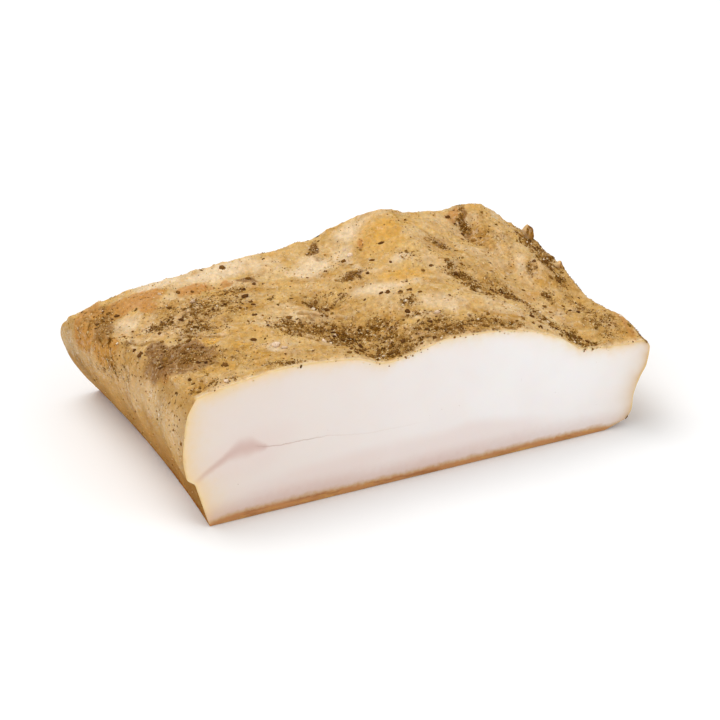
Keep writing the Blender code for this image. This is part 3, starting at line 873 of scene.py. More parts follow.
def crust_material(colours):
    """Cured tan surface with pale, honey, meat and grey patches, ground spice and a greasy shine."""
    radius = (0.0026, 0.0017, 0.0008)
    made, tree, shader = material("spiced crust", 0.5, 0.0, 0.20, 0.30, radius, specular=0.0)
    w = Weave(tree, colours, "tan")
    deep = w.stretched((1.0, 0.62, 1.0), turn=-25)
    end, grey, haze = w.mask("end"), w.mask("grey"), w.mask("haze")

    # Plain surface, its patches of fat, and the smoother ends with their browned foot, which is also
    # painted shade low on the walls and under the left end's lip
    w.paint("ochre", w.blotch(75, 0.40, 0.70, detail=5.0, warp=0.8))
    w.paint("cream", w.blotch(55, 0.45, 0.70, detail=4.0, warp=1.0), 0.6)
    w.paint("honey", w.blotch(110, 0.44, 0.70, detail=5.0, warp=0.9), 0.28)
    rough = w.range(end, 0.0, 1.0, 0.45, 0.08)
    w.paint("ochre", w.blotch(260, 0.46, 0.64, detail=4.0, warp=0.8, vector=deep), rough)
    w.paint("cream", w.blotch(330, 0.52, 0.68, detail=4.0, warp=0.6, vector=deep), rough)
    w.paint("side", end, 0.62)
    w.paint("browned", w.times(w.blotch(62, 0.50, 0.68, detail=5.0, warp=1.2), 0.45), end)
    w.paint("browned", w.mask("browned"))
    wander = w.times(w.cloud(300, detail=4.0), 0.0030)
    w.paint("rind_dark", w.range(w.plus(w.place()[1], wander), 0.0046, 0.0036), 0.75)

    # Zones whose edges the noise makes ragged
    edge = w.less(w.cloud(330, detail=5.0, vector=deep), 0.5)
    edge = w.times(edge, w.range(end, 0.0, 1.0, 1.0, 0.25))
    for name, low, high, ragged in (
        ("cream", 0.0, 0.90, 0.7),
        ("honey", 0.0, 1.10, 0.7),
        ("meat", 0.15, 0.60, 1.4),
        ("grey", 0.10, 0.70, 1.6),
    ):
        zone = w.mask(name)
        strength = w.range(w.plus(zone, w.times(edge, ragged)), low, high)
        w.paint(name, w.times(strength, w.range(zone, 0.02, 0.25)), 0.9)
    # Painted highlight on the crests of the wrinkles and folds, painted shadow at the folds' feet
    w.paint("cream", w.mask("crest"), 0.4)
    w.paint("stain_and_shadow", w.mask("foot"), 0.7)
    w.paint("ochre", haze, 0.7)

    # Ground spice: a stain first, then specks of a few sizes, then pale specks that are crumbs of fat
    # and painted glints
    hazy = w.times(haze, w.blotch(280, 0.42, 0.62, detail=5.0, warp=0.5, vector=deep))
    spice = w.math("MAXIMUM", w.mask("spice"), w.times(grey, 0.4))
    spice = w.math("MAXIMUM", spice, w.times(hazy, 0.75))
    clumps = w.blotch(400, 0.38, 0.58, detail=5.0, warp=0.6, vector=deep)
    heavy = w.times(spice, w.plus(w.times(clumps, 0.75), 0.25))
    w.paint("stain_and_shadow", w.range(heavy, 0.0, 0.60))
    for scale, detail, start, gain, name, strength in (
        (330, 4.0, 0.69, 0.34, "dust", 0.65),
        (620, 3.0, 0.69, 0.30, "dust", 0.70),
        (1100, 2.0, 0.68, 0.22, "dust", 0.60),
        (480, 3.0, 0.72, 0.27, "speck", 0.85),
    ):
        value = w.cloud(scale, detail=detail, warp=0.4, vector=deep)
        limit = w.less(start, w.times(heavy, gain))
        w.paint(name, w.times(w.less(value, limit), 16.0, clamp=True), strength)
    # Painted glints: pale specks that stand for crumbs of fat and for the grease's glints
    glints = w.range(w.cloud(850, detail=2.0, warp=0.5, vector=deep), 0.59, 0.67)
    shown = w.times(w.range(spice, 0.0, 0.4, 0.10, 0.65), w.range(grey, 0.1, 0.8, 1.0, 0.5))
    w.paint("crumb", glints, shown)

    # Fine light and dark: random mottling, and painted shade and highlight that follow the swells, the
    # fibres of the slope and the flutes of the ends, whose patterns also make the bumps
    swells = w.cloud(260, detail=2.0, vector=deep)
    mottle = w.range(w.cloud(600, detail=4.0, vector=deep), 0.3, 0.7, 0.86, 1.12)
    shade = w.times(mottle, w.range(swells, 0.3, 0.7, 0.93, 1.06))
    w.shade(shade, w.range(end, 0.0, 1.0, 1.0, 0.35))
    fibres = w.cloud(520, vector=w.stretched((1.0, 0.10, 1.0), turn=-11))
    flutes = w.cloud(75, detail=1.0, vector=w.stretched((1.0, 1.0, 0.2)))
    # Painted shade and highlight along the fibres and flutes, lighter where their bumps stand higher
    lines = w.times(w.less(fibres, 0.5), w.mask("fibre"))
    lines = w.plus(lines, w.times(w.less(flutes, 0.5), end))
    w.shade(w.plus(w.times(lines, 0.8), 1.0))
    w.link(w.base, shader.inputs["Base Color"])

    # Grease and relief
    w.link(w.range(w.cloud(420), 0.3, 0.7, 0.36, 0.62), shader.inputs["Roughness"])
    grease = w.times(w.blotch(500, 0.50, 0.62), w.range(heavy, 0.5, 0.0, 0.08, 0.7))
    grease = w.times(grease, w.range(w.mask("browned"), 0.1, 0.6, 1.0, 0.1))
    w.link(grease, shader.inputs["Coat Weight"])
    ridges = w.bump(lines, 0.0012, 0.6, under=w.bump(swells, 0.0016, 0.55))
    sandy = w.times(w.cloud(900, vector=deep), w.range(spice, 0.0, 0.6, 0.15, 1.0))
    w.link(w.bump(sandy, 0.0012, 0.9, under=ridges), shader.inputs["Normal"])
    return made


def cut_fat_material(colours):
    """Cut fat: white, yellow by the crust, pink over the rind, with its streak and the rind's edge."""
    made, tree, shader = material("cut fat", 0.38, 0.10, 0.22, 0.5, (0.0050, 0.0034, 0.0026))
    w = Weave(tree, colours, "fat")
    x, z = w.place()
    wander = w.times(w.less(w.cloud(420), 0.5), 0.0022)
    # Painted shade: darker, warmer fat, laid more strongly towards the cut face's left end
    w.paint("warm_fat_shade", w.range(x, 0.150, -0.010))
    w.paint("pink", w.blotch(45, 0.35, 0.7, detail=2.0), 0.12)
    w.paint("pink", w.mask("pink"))

    # Streak of meat and the crack that goes on from it
    half = w.drawn(x, STREAK_HALF, HALF_HIGH)
    away = w.less(w.plus(z, w.times(wander, 0.5)), w.drawn(x, STREAK_LINE, LINE_HIGH))
    away = w.math("ABSOLUTE", away)
    streak = w.range(w.math("DIVIDE", away, w.math("MAXIMUM", half, 0.0002)), 2.6, 0.0)
    w.paint("streak", w.times(streak, w.range(half, 0.0003, 0.0009)), 0.8)
    thin = w.times(w.range(away, 0.00035, 0.00008), w.drawn(x, CRACK_SHOWS, 1.0))
    w.paint("crack", thin, 0.8)

    # Borders towards the crust, the low end and the rind
    rim = w.mask("rim")
    rim = w.plus(rim, w.times(wander, w.range(rim, 0.0, 0.3, 0.0, 200.0)))
    w.paint("fat_edge", w.times(rim, 1.0, clamp=True))
    w.paint("dull_edge", w.mask("dull"))
    w.paint("tan", w.mask("brink"))
    bits = w.plus(w.cloud(620), w.times(w.mask("bits"), 0.3))
    w.paint("stain_and_shadow", w.range(bits, 0.74, 0.79), 0.85)
    over = w.less(w.plus(z, wander), w.drawn(x, RIND_LINE, RIND_HIGH))
    w.paint("fat_foot", w.range(over, 0.0090, 0.0), w.range(x, 0.090, 0.165, 0.64, 0.40))
    w.paint("side", w.range(over, 0.0022, 0.0), 0.80)
    skin = Weave(tree, colours, "rind")
    long_marks = w.blotch(330, 0.46, 0.66, vector=w.stretched((0.25, 1.0, 1.6)))
    skin.paint("rind_dark", long_marks, 0.7)
    skin.paint("honey", w.blotch(500, 0.5, 0.7, vector=w.stretched((0.3, 1.0, 1.5))), 0.6)
    w.base = w.layer(w.base, skin.base, w.range(over, 0.0007, -0.0006))
    w.link(w.base, shader.inputs["Base Color"])
    slices = w.cloud(260, detail=2.0, vector=w.stretched((0.12, 1.0, 1.0)))
    dents = w.bump(slices, 0.0002, 0.35)
    w.link(w.bump(thin, 0.0004, 0.5, under=dents, invert=True), shader.inputs["Normal"])
    return made


def rind_material(colours):
    """Skin under the slab, brown with fine pores."""
    made, tree, shader = material("rind", 0.46, 0.15, 0.3, 0.08, (0.0015, 0.0007, 0.0004))
    w = Weave(tree, colours, "rind")
    w.paint("browned", w.blotch(60, 0.42, 0.66, warp=0.5))
    w.paint("ochre", w.blotch(240, 0.5, 0.7))
    pores = add(tree, "ShaderNodeTexVoronoi", Scale=420.0, Randomness=0.85)
    w.link(w.where, pores.inputs["Vector"])
    pits = w.range(pores.outputs["Distance"], 0.0, 0.35)
    w.link(w.layer(w.tone("browned"), w.base, pits), shader.inputs["Base Color"])
    w.link(w.bump(pits, 0.0003, 0.6), shader.inputs["Normal"])
    return made


def grain_material(name, kind):
    """Dry spice in a few tones, one for each grain, with a little mottling."""
    radius = (0.0006, 0.0004, 0.0002)
    made, tree, shader = material(name, 0.75, 0.0, 0.3, 0.0, radius, specular=0.12)
    tones = GRAIN_TONES[kind]
    w = Weave(tree)
    ramp = add(tree, "ShaderNodeValToRGB")
    while len(ramp.color_ramp.elements) < len(tones):
        ramp.color_ramp.elements.new(0.5)
    for i, tone in enumerate(tones):
        ramp.color_ramp.elements[i].position = i / (len(tones) - 1)
        ramp.color_ramp.elements[i].color = (*srgb(tone), 1.0)
    w.link(w.mask("tone"), ramp.inputs["Fac"])
    w.base = ramp.outputs["Color"]
    w.shade(w.range(w.cloud(2600), 0.3, 0.7, 0.72, 1.22))
    w.link(w.base, shader.inputs["Base Color"])
    w.link(w.bump(w.cloud(3200), 0.00012, 0.6), shader.inputs["Normal"])
    return made


def keep(obj):
    """Shows a finished piece, on the slab's body."""
    bpy.context.scene.collection.objects.link(obj)
    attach(obj, BODY)
    return obj


def store(mesh, name, values):
    """Keeps one number for each vertex on a mesh."""
    attribute = mesh.attributes.new(name, "FLOAT", "POINT")
    attribute.data.foreach_set("value", np.asarray(values, np.float32))


def read(data, name, kind, width=1):
    """One value of each item of mesh data, or a row of them where width is more than 1."""
    values = np.empty(len(data) * width, kind)
    data.foreach_get(name, values)
    return values.reshape(-1, width) if width > 1 else values


def vertices_of(mesh):
    return read(mesh.vertices, "co", np.float32, 3).astype(float)


def normals_of(mesh):
    return read(mesh.vertex_normals, "vector", np.float32, 3).astype(float)


def block_mesh(shape):
    """A unit cube cut into fine faces, with one face for its base, and its finishes marked."""
    bm = bmesh.new()
    bmesh.ops.create_cube(bm, size=1.0, matrix=Matrix.Translation((0.5, 0.5, 0.5)))
    for axis, steps in enumerate(shape.steps):
        lines = [e for e in bm.edges if abs(e.verts[0].co[axis] - e.verts[1].co[axis]) > 0.5]
        bmesh.ops.subdivide_edges(bm, edges=lines, cuts=steps - 1, use_grid_fill=True)
    bm.normal_update()
    for face in bm.faces:
        face.smooth = True
        face.material_index = 1 if face.normal.y < -0.9 else 2 if face.normal.z < -0.9 else 0
    base = [f for f in bm.faces if f.material_index == 2]
    bmesh.ops.delete(bm, geom=base, context="FACES")
    rim = [e for e in bm.edges if e.is_boundary]
    filled = bmesh.ops.holes_fill(bm, edges=rim, sides=0)["faces"]
    for face in filled:
        face.material_index = 2
    for edge in bm.edges:
        kinds = {f.material_index for f in edge.link_faces}
        edge.smooth = len(kinds) == 1
    mesh = bpy.data.meshes.new("slab")
    bm.to_mesh(mesh)
    bm.free()
    return mesh


def fine_relief(points, normals, cube, shape):
    """How far each point moves by the surface's own fine relief, in metres."""
    u, v, w = cube.T
    top = w > HIGH_SIDE
    cut = v < LOW_SIDE
    spice = zone_mask(points, SPICE_FIELDS, 0.0030, 0.009) * top
    skin = grain(points, 0.0075, shift=2.0) + 0.5 * grain(points, 0.0032, shift=4.0)
    crumbs = np.abs(grain(points, 0.0024, shift=6.0)) + 0.6 * np.abs(grain(points, 0.0013, shift=8.0))
    upright = (1, 1, 4.0)
    flutes = grain(points, 0.0130, upright, 11.0) + 0.3 * grain(points, 0.0060, upright, 12.0)
    wide, narrow = wrinkles(points)
    crest, foot = folds(points)
    wrinkled = shape.wrinkle * (wide + 0.5 * narrow - 0.4)
    wrinkled *= 0.35 + 0.65 * ease(points[:, 1] / 0.006)
    wrinkled += shape.fold * (crest - 0.8 * foot)
    height = np.where(top, shape.skin * skin + wrinkled, 1.6 * shape.skin * flutes)
    height += shape.crumble * spice * (2.2 * crumbs - 0.5)
    along, across = turned(points[:, 0], points[:, 1], SWELLS["crest along the right"])
    crest = np.exp(-(along**2) - (across / 1.4) ** 2) * top
    height += 0.00016 * crest * np.sin(across * 17 + 2.5 * grain(points, 0.012, shift=15.0))
    height *= ease(w / 0.04)
    moves = height[:, None] * np.where((cut & top)[:, None], (0, 0, 1), normals)
    ragged = grain(points, 0.0021, shift=16.0) + 0.7 * grain(points, 0.0045, shift=17.0)
    ragged = np.clip(ragged, 0, 1)
    moves[:, 2] += np.where(cut & top, 0.00045 * (ragged - 0.2), 0)
    over = points[:, 2] - top_height(points[:, 0], 0 * u, shape)
    overhang = shape.overhang * ragged * ease(over / 0.0016 + 1)
    outward = 0.00008 * grain(points, 0.014, shift=20.0) + overhang
    moves = np.where((cut & ~top)[:, None], 0, moves)
    moves[:, 1] -= np.where(cut, outward, 0)
    return moves


def cut_masks(mesh, points, cube, shape):
    """Colour masks of the cut face."""
    u, v, w = cube.T
    height = np.maximum(top_height(points[:, 0], 0 * u, shape), 0.001)
    left, right = end_places(0 * v, w, shape)
    ragged = 0.0004 * grain(points, 0.0022, shift=2.2) + 0.0005 * grain(points, 0.008, shift=2.9)
    from_top = height - points[:, 2] + ragged
    from_left = points[:, 0] - left + ragged
    from_right = right - points[:, 0] + ragged
    tall_end = np.exp(-np.clip(points[:, 0], 0, 1) / 0.03)
    reach = 0.85 + 0.6 * grain(points, 0.012, shift=3.3) + 1.3 * tall_end
    rim_top = 1.10 * np.exp(-np.clip(from_top, 0, 1) / (shape.rim * reach))
    rim_left = 1.05 * np.exp(-np.clip(from_left, 0, 1) / (2.4 * shape.rim))
    store(mesh, "rim", np.maximum(rim_top, rim_left))
    inward = np.clip(from_right, 0, 1) / shape.rim
    blotchy = 1 + 0.30 * grain(points, 0.007, shift=2.5)
    store(mesh, "dull", (0.66 * np.exp(-inward / 1.1) + 0.36 * np.exp(-inward / 4.3)) * blotchy)
    spiced = spice_density(np.column_stack([points[:, 0], 0 * u, height]), v < 2)
    store(mesh, "bits", (0.25 + 0.75 * spiced) * np.exp(-np.clip(from_top, 0, 1) / 0.0009))
    nearest = np.minimum.reduce([from_left, from_right, from_top])
    store(mesh, "brink", 0.7 * (1 - ease(nearest / 0.0008)))
    store(mesh, "pink", zone_mask(points, PINK_ZONES, 0.003, 0.02, axes=(0, 2)))


def crust_masks(mesh, points, cube, shape):
    """Colour masks of the crust."""
    u, v, w = cube.T
    top = w > HIGH_SIDE
    sides = ((u < LOW_SIDE) | (u > HIGH_SIDE) | (v > HIGH_SIDE)) & ~top
    fade = np.where(sides, ease((w - 0.66) / 0.24), 1.0)
    soft, crisp = {"core": 0.15, "fade": 1.55}, {"core": 0.45, "fade": 0.8}
    density = spice_density(points, top)
    for name, zones, edge in (
        ("cream", CREAM_ZONES, soft),
        ("honey", HONEY_ZONES, soft),
        ("meat", MEAT_ZONES, crisp),
        ("grey", GREY_ZONES, crisp),
    ):
        mask = zone_mask(points, zones, 0.0026, 0.008, **edge) * fade ** (4 if name == "grey" else 1)
        if name == "cream":
            mask = np.maximum(mask, 0.75 * (1 - density) * np.exp(-points[:, 1] / 0.0016) * top)
            # Painted light with pale fat: the walls are paler in their upper half, above the darker
            # foot
            mask = np.maximum(mask, 0.35 * sides * ease((w - 0.45) / 0.25) * ease((0.98 - w) / 0.2))
        store(mesh, name, mask)
    wide, narrow = wrinkles(points)
    crest, foot = folds(points)
    # Painted highlight: the crests of the wrinkles and folds; painted shadow: the folds' feet
    lit = np.maximum.reduce([0.35 * wide**1.5, 0.2 * narrow**1.5, 1.3 * crest])
    store(mesh, "crest", lit * top)
    store(mesh, "foot", foot * top)
    store(mesh, "fibre", zone_mask(points, FIBRE_ZONES, 0.001, 0.01) * top)
    store(mesh, "end", sides)
    # Painted shade with browned skin: the walls are darker low down, under the left end's lip and on
    # its lower part, and browner by the rind
    low = 1 - ease((w + 0.10 * grain(points, 0.012, shift=18.0) - 0.10) / 0.65)
    left = u < LOW_SIDE
    band = left * (1 - ease(v / LIP_REACH)) * (1 - ease((w - crease_height(v)) / 0.03 + 0.5))
    foot = 1 - ease((points[:, 2] - shape.rind) / 0.004)
    left_low = left * (1 - ease((w - 0.10 - 0.25 * v) / 0.50)) * ease(v / 0.15)
    left_low = 0.95 * left_low * (1 - 0.5 * v)
    browned = np.maximum.reduce([0.15 + 0.45 * low, 0.85 * band, left_low, 0.8 * foot])
    store(mesh, "browned", browned * sides)
    store(mesh, "spice", density)
    drop = np.where(sides, ease((w - 0.45) / 0.35), 1.0)
    store(mesh, "haze", zone_mask(points, HAZE_ZONES, 0.0040, 0.014, core=0.0, fade=1.6) * drop)


def slab_piece(context):
    """The slab itself, in the fine form of its node."""
    shape = context.scene.slab_shape
    colours = context.scene.slab_colours
    mesh = block_mesh(shape)
    cube = vertices_of(mesh)
    points = slab_points(cube, shape)
    mesh.vertices.foreach_set("co", points.astype(np.float32).ravel())
    mesh.update()
    points += fine_relief(points, normals_of(mesh), cube, shape)
    points[:, 2] = np.where(cube[:, 2] < LOW_SIDE, 0, points[:, 2])
    mesh.vertices.foreach_set("co", (points + CUT_CORNER).astype(np.float32).ravel())
    mesh.update()
    cut_masks(mesh, points, cube, shape)
    crust_masks(mesh, points, cube, shape)
    for finish in (crust_material(colours), cut_fat_material(colours), rind_material(colours)):
        mesh.materials.append(finish)
    slab = keep(bpy.data.objects.new("slab", mesh))
    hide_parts(NODE)


def ball(subdivisions):
    """A round grain, with only eight faces where it has no subdivisions."""
    bm = bmesh.new()
    if subdivisions:
        bmesh.ops.create_icosphere(bm, subdivisions=subdivisions, radius=1.0)
    else:
        bmesh.ops.create_uvsphere(bm, u_segments=4, v_segments=2, radius=1.0)
    return shape_arrays(bm)


def shape_arrays(bm):
    """Vertices and triangles of a starting shape, which is then let go."""
    bmesh.ops.triangulate(bm, faces=bm.faces)
    bm.verts.index_update()
    verts = np.array([v.co for v in bm.verts])
    faces = np.array([[v.index for v in f.verts] for f in bm.faces])
    bm.free()
    return verts, faces


def curled_flake():
    """A thin curled leaf fragment."""
    bm = bmesh.new()
    bmesh.ops.create_grid(bm, x_segments=2, y_segments=1, size=1.0)
    for vert in bm.verts:
        vert.co.z = 0.15 * vert.co.x**2
        vert.co.y *= 0.85 if abs(vert.co.x) < 0.5 else 0.50
    bmesh.ops.solidify(bm, geom=bm.faces, thickness=0.18)
    bmesh.ops.recalc_face_normals(bm, faces=bm.faces)
    return shape_arrays(bm)


def crystal():
    """A broken cube."""
    bm = bmesh.new()
    bmesh.ops.create_cube(bm, size=1.6)
    return shape_arrays(bm)


def joined(name, template, spots, lengths, tones, finish, draw, flat, uneven, sink):
    """One mesh of many grains, each a turned, uneven copy of the template on its spot."""
    places, normals = spots
    verts, faces = template
    count = len(places)
    turn = draw.uniform(0, math.tau, count)
    upright = normals + draw.normal(0, GRAIN_LEAN, (count, 3))
    upright /= np.linalg.norm(upright, axis=1)[:, None]
    side = np.cross(upright, np.column_stack([np.cos(turn), np.sin(turn), 0 * turn + 0.31]))
    side /= np.linalg.norm(side, axis=1)[:, None]
    ahead = np.cross(upright, side)
    half = lengths / 2
    widths = draw.uniform(0.6, 1.0, count)
    thick = draw.uniform(*flat, count)
    local = verts[None] * draw.uniform(1 - uneven, 1 + uneven, (count, len(verts), 1))
    local = local * np.column_stack([half, half * widths, half * thick])[:, None]
    axes = np.stack([side, ahead, upright], axis=1)
    places = places + normals * (half * thick * (1 - sink))[:, None]
    final = np.einsum("nvk,nkc->nvc", local, axes) + places[:, None]
    triangles = (faces[None] + (np.arange(count) * len(verts))[:, None, None]).reshape(-1, 3)
    mesh = bpy.data.meshes.new(name)
    mesh.vertices.add(count * len(verts))
    mesh.vertices.foreach_set("co", final.astype(np.float32).ravel())
    mesh.loops.add(triangles.size)
    mesh.loops.foreach_set("vertex_index", triangles.astype(np.int32).ravel())
    mesh.polygons.add(len(triangles))
    mesh.polygons.foreach_set("loop_start", np.arange(0, triangles.size, 3, dtype=np.int32))
    mesh.update(calc_edges=True)
    mesh.validate()
    store(mesh, "tone", np.repeat(tones, len(verts)))
    mesh.materials.append(finish)
    return keep(bpy.data.objects.new(name, mesh))


def sow(count, draw, power, least):
    """Seeded places on the crust, denser where the spice lies, with the surface's normals there."""
    mesh = bpy.data.objects["slab"].data
    mesh.calc_loop_triangles()
    triangles = mesh.loop_triangles
    crust = read(triangles, "material_index", np.int32) == 0
    corners = read(triangles, "vertices", np.int32, 3)[crust]
    areas = read(triangles, "area", np.float32)[crust]
    density = read(mesh.attributes["spice"].data, "value", np.float32)
    verts, normals = vertices_of(mesh), normals_of(mesh)
    floor = least * (normals[corners, 2].mean(axis=1) > FACING_UP)
    weight = areas * (np.maximum(density[corners].mean(axis=1), floor) ** power)
    chosen = corners[draw.choice(len(corners), count, p=weight / weight.sum())]
    shares = draw.dirichlet((1, 1, 1), count)[:, :, None]
    places = (verts[chosen] * shares).sum(axis=1)
    tilts = (normals[chosen] * shares).sum(axis=1)
    return places, tilts / np.linalg.norm(tilts, axis=1)[:, None]


def spill(places, normals, draw):
    """Lets some of the grains nearest the cut hang over its edge."""
    near = (places[:, 1] - CUT_CORNER[1] < SPILL_REACH) & (normals[:, 2] > FACING_UP)
    over = near & (draw.uniform(0, 1, len(places)) < SPILL_SHARE)
    places[over, 1] = CUT_CORNER[1] - 0.0001
    places[over, 2] -= 0.0003 + SPILL_DROP * draw.uniform(0, 1, over.sum()) ** 2
    normals[over] = (0, -1, 0)
    return places, normals


def sizes_between(limits, count, draw):
    """Sizes from the smallest to the largest, with more small ones."""
    return limits[0] + (limits[1] - limits[0]) * draw.uniform(0, 1, count) ** 2.0


def flake_spots(spice, shape):
    """Seeded spots where a coarse flake lies: X and Y from the base corner, its length and its turn."""
    draw = random.Random(FLAKE_SEED)
    taken = []
    for centre_x, centre_y, half_long, half_wide, turn, count in FLAKE_BEDS.values():
        angle = math.radians(turn)
        wanted = len(taken) + count
        while len(taken) < wanted:
            along = draw.gauss(0, BED_SPREAD) * half_long
            across = draw.gauss(0, BED_SPREAD) * half_wide
            size = draw.uniform(*spice.flake_size)
            spin = draw.uniform(0, math.tau)
            x = centre_x + along * math.cos(angle) - across * math.sin(angle)
            y = centre_y + along * math.sin(angle) + across * math.cos(angle)
            if not EDGE_GAP < y < shape.depth - shape.back_round:
                continue
            left, right = end_places(np.array([y / shape.depth]), np.ones(1), shape)
            if not left[0] + EDGE_GAP < x < right[0] - EDGE_GAP:
                continue
            if all(math.hypot(x - other[0], y - other[1]) > FLAKE_GAP for other in taken):
                taken.append((x, y, size, spin))
    return taken


class PORK_OT_slab(bpy.types.Operator):
    """Build the slab: crust, cut face and rind"""

    bl_idname = "pork.slab"
    bl_label = "Slab"

    def execute(self, context):
        slab_piece(context)
        return {"FINISHED"}


class PORK_OT_knobs(bpy.types.Operator):
    """Build the knobs of flesh at the right edge"""

    bl_idname = "pork.knobs"
    bl_label = "Knobs"

    def execute(self, context):
        draw = random.Random(KNOB_SEED)
        bm = bmesh.new()
        for x, y, z, half_across, half_tall in KNOBS:
            place = Matrix.Translation(CUT_CORNER + (x, y, z))
            size = Matrix.Diagonal((half_across, half_across, half_tall, 1.0))
            new = bmesh.ops.create_icosphere(bm, subdivisions=4, radius=1.0)["verts"]
            shift = draw.uniform(0, 9)
            for vert in new:
                vert.co *= 1 + 0.30 * noise.noise(vert.co * 1.5 + Vector((shift, 0, 0)))
            bmesh.ops.transform(bm, matrix=place @ size, verts=new)
        for face in bm.faces:
            face.smooth = True
        mesh = bpy.data.meshes.new("flesh_knobs")
        bm.to_mesh(mesh)
        bm.free()
        # Painted shade: each knob takes the shaded side's masks where it faces along KNOB_SHADED, and
        # the lit side's masks where it faces away
        shaded = ease(0.5 + normals_of(mesh) @ KNOB_SHADED)
        for name, (light, dark) in KNOB_MASKS.items():
            store(mesh, name, light + (dark - light) * shaded)
        mesh.materials.append(bpy.data.materials["spiced crust"])
        keep(bpy.data.objects.new("flesh_knobs", mesh))
        return {"FINISHED"}


class PORK_OT_flakes(bpy.types.Operator):
    """Lay the coarse flakes, the largest grains of the crust"""

    bl_idname = "pork.flakes"
    bl_label = "Coarse flakes"

    def execute(self, context):
        spice, shape = context.scene.slab_spice, context.scene.slab_shape
        draw = np.random.default_rng(SHAPE_SEED)
        slab = bpy.data.objects["slab"]
        tree = BVHTree.FromObject(slab, context.evaluated_depsgraph_get())
        flakes = flake_spots(spice, shape)
        flakes += [(x, y, size, math.radians(turn)) for x, y, size, turn, _ in LONE_FLAKES.values()]
        places, normals = [], []
        for x, y, _size, _spin in flakes:
            above = Vector(CUT_CORNER + (x, y, 1.0))
            place, normal, _face, _drop = tree.ray_cast(above, Vector((0, 0, -1)))
            places.append(place)
            normals.append(normal)
        lengths = np.array([flake[2] for flake in flakes])
        lone = [flake[4] for flake in LONE_FLAKES.values()]
        tones = np.concatenate([draw.uniform(0, 0.75, len(flakes) - len(lone)), lone])
        finish = grain_material("coarse spice", "flake")
        spots = np.array(places), np.array(normals)
        joined(
            "coarse_flakes", ball(2), spots, lengths, tones, finish, draw,
            (0.35, 0.60), 0.34, 0.80,
        )
        return {"FINISHED"}


class PORK_OT_grains(bpy.types.Operator):
    """Scatter the ground spice, herb flakes, pale crumbs and salt"""

    bl_idname = "pork.grains"
    bl_label = "Ground spice"

    def execute(self, context):
        spice = context.scene.slab_spice
        draw = np.random.default_rng(GRAIN_SEED)
        templates = (ball(1), curled_flake(), ball(0), ball(0), crystal())
        for (name, values), template in zip(GRAIN_KINDS.items(), templates):
            kind, power, least, slot, flat, uneven, sink = values
            count = getattr(spice, kind + "_count")
            limits = getattr(spice, kind + "_size")
            spots = spill(*sow(count, draw, power, least), draw)
            finish = grain_material(name.replace("_", " "), kind)
            lengths = sizes_between(limits, count, draw)
            tones = draw.uniform(0, 1, count)
            joined(
                name, template, spots, lengths, tones, finish, draw, flat, uneven, sink
            )
        return {"FINISHED"}


def area_light(name, place, size, energy, tint):
    """A soft square light that faces the slab."""
    light = bpy.data.lights.new(name, "AREA")
    light.size = size
    light.energy = energy
    light.color = tint
    lamp = bpy.data.objects.new(name, light)
    lamp.location = place
    lamp.rotation_euler = (LIGHT_AIM - Vector(place)).to_track_quat("-Z", "Y").to_euler()
    bpy.context.scene.collection.objects.link(lamp)


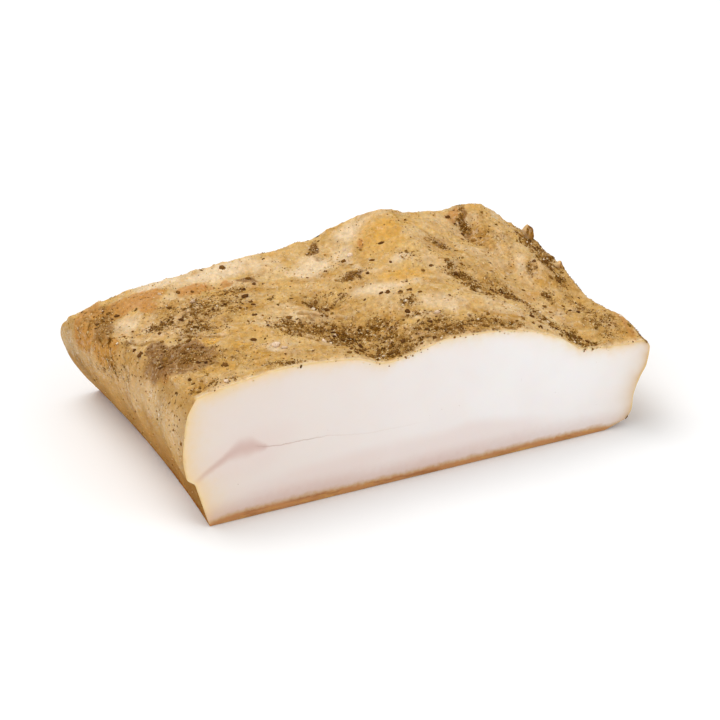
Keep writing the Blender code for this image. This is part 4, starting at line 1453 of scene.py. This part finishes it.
class PORK_OT_stage(bpy.types.Operator):
    """Set the floor, the soft lights and the camera"""

    bl_idname = "pork.stage"
    bl_label = "Stage"

    def execute(self, context):
        stage = context.scene.slab_stage
        bm = bmesh.new()
        bmesh.ops.create_grid(bm, x_segments=1, y_segments=1, size=stage.floor_size / 2)
        bmesh.ops.translate(bm, vec=(0, 0, -FLOOR_DROP), verts=bm.verts)
        mesh = bpy.data.meshes.new("floor")
        bm.to_mesh(mesh)
        bm.free()
        radius = (0.001, 0.001, 0.001)
        made, _tree, shader = material("floor", 0.8, 0.0, 0.3, 0.0, radius, specular=0.2)
        shader.inputs["Base Color"].default_value = (*stage.floor, 1.0)
        mesh.materials.append(made)
        floor = bpy.data.objects.new("floor", mesh)
        context.scene.collection.objects.link(floor)
        for name, values in LIGHTS.items():
            area_light(name, *values)
        world = bpy.data.worlds.new("studio")
        world.use_nodes = True
        background = world.node_tree.nodes["Background"]
        background.inputs["Color"].default_value = (1.0, 1.0, 1.0, 1.0)
        background.inputs["Strength"].default_value = WORLD_STRENGTH
        context.scene.world = world
        context.scene.view_settings.view_transform = "Standard"
        lens = bpy.data.cameras.new("camera")
        lens.lens = stage.lens
        lens.sensor_width = 36.0
        lens.clip_start = 0.01
        camera = bpy.data.objects.new("camera", lens)
        a, e = stage.azimuth, stage.elevation
        back = Vector((math.sin(a) * math.cos(e), -math.cos(a) * math.cos(e), math.sin(e)))
        camera.location = Vector(stage.target) + back * stage.distance
        camera.rotation_euler = back.to_track_quat("Z", "Y").to_euler()
        context.scene.collection.objects.link(camera)
        context.scene.camera = camera
        return {"FINISHED"}


class PORK_PT_panel(bpy.types.Panel):
    """Lists the slab's pieces and their settings"""

    bl_label = "Pork slab"
    bl_space_type = "VIEW_3D"
    bl_region_type = "UI"
    bl_category = "Pork slab"

    def draw(self, context):
        for operator in STEPS:
            self.layout.operator(operator.bl_idname)
        for name in SETTINGS:
            settings = getattr(context.scene, name)
            box = self.layout.box()
            for item in settings.bl_rna.properties:
                if not item.is_readonly and item.identifier != "name":
                    box.prop(settings, item.identifier)


STEPS = (PORK_OT_slab, PORK_OT_knobs, PORK_OT_flakes, PORK_OT_grains, PORK_OT_stage)
SETTINGS = {
    "slab_shape": SlabShape,
    "slab_colours": SlabColours,
    "slab_spice": SpiceSettings,
    "slab_stage": StageSettings,
}


def register():
    for name, kind in SETTINGS.items():
        bpy.utils.register_class(kind)
        setattr(bpy.types.Scene, name, PointerProperty(type=kind))
    for kind in (*STEPS, PORK_PT_panel):
        bpy.utils.register_class(kind)


def unregister():
    for kind in (PORK_PT_panel, *reversed(STEPS)):
        bpy.utils.unregister_class(kind)
    for name, kind in SETTINGS.items():
        delattr(bpy.types.Scene, name)
        bpy.utils.unregister_class(kind)


def main():
    register()
    bpy.ops.pork.slab()
    bpy.ops.pork.knobs()
    bpy.ops.pork.flakes()
    bpy.ops.pork.grains()
    bpy.ops.pork.stage()


if __name__ == "__main__":
    main()
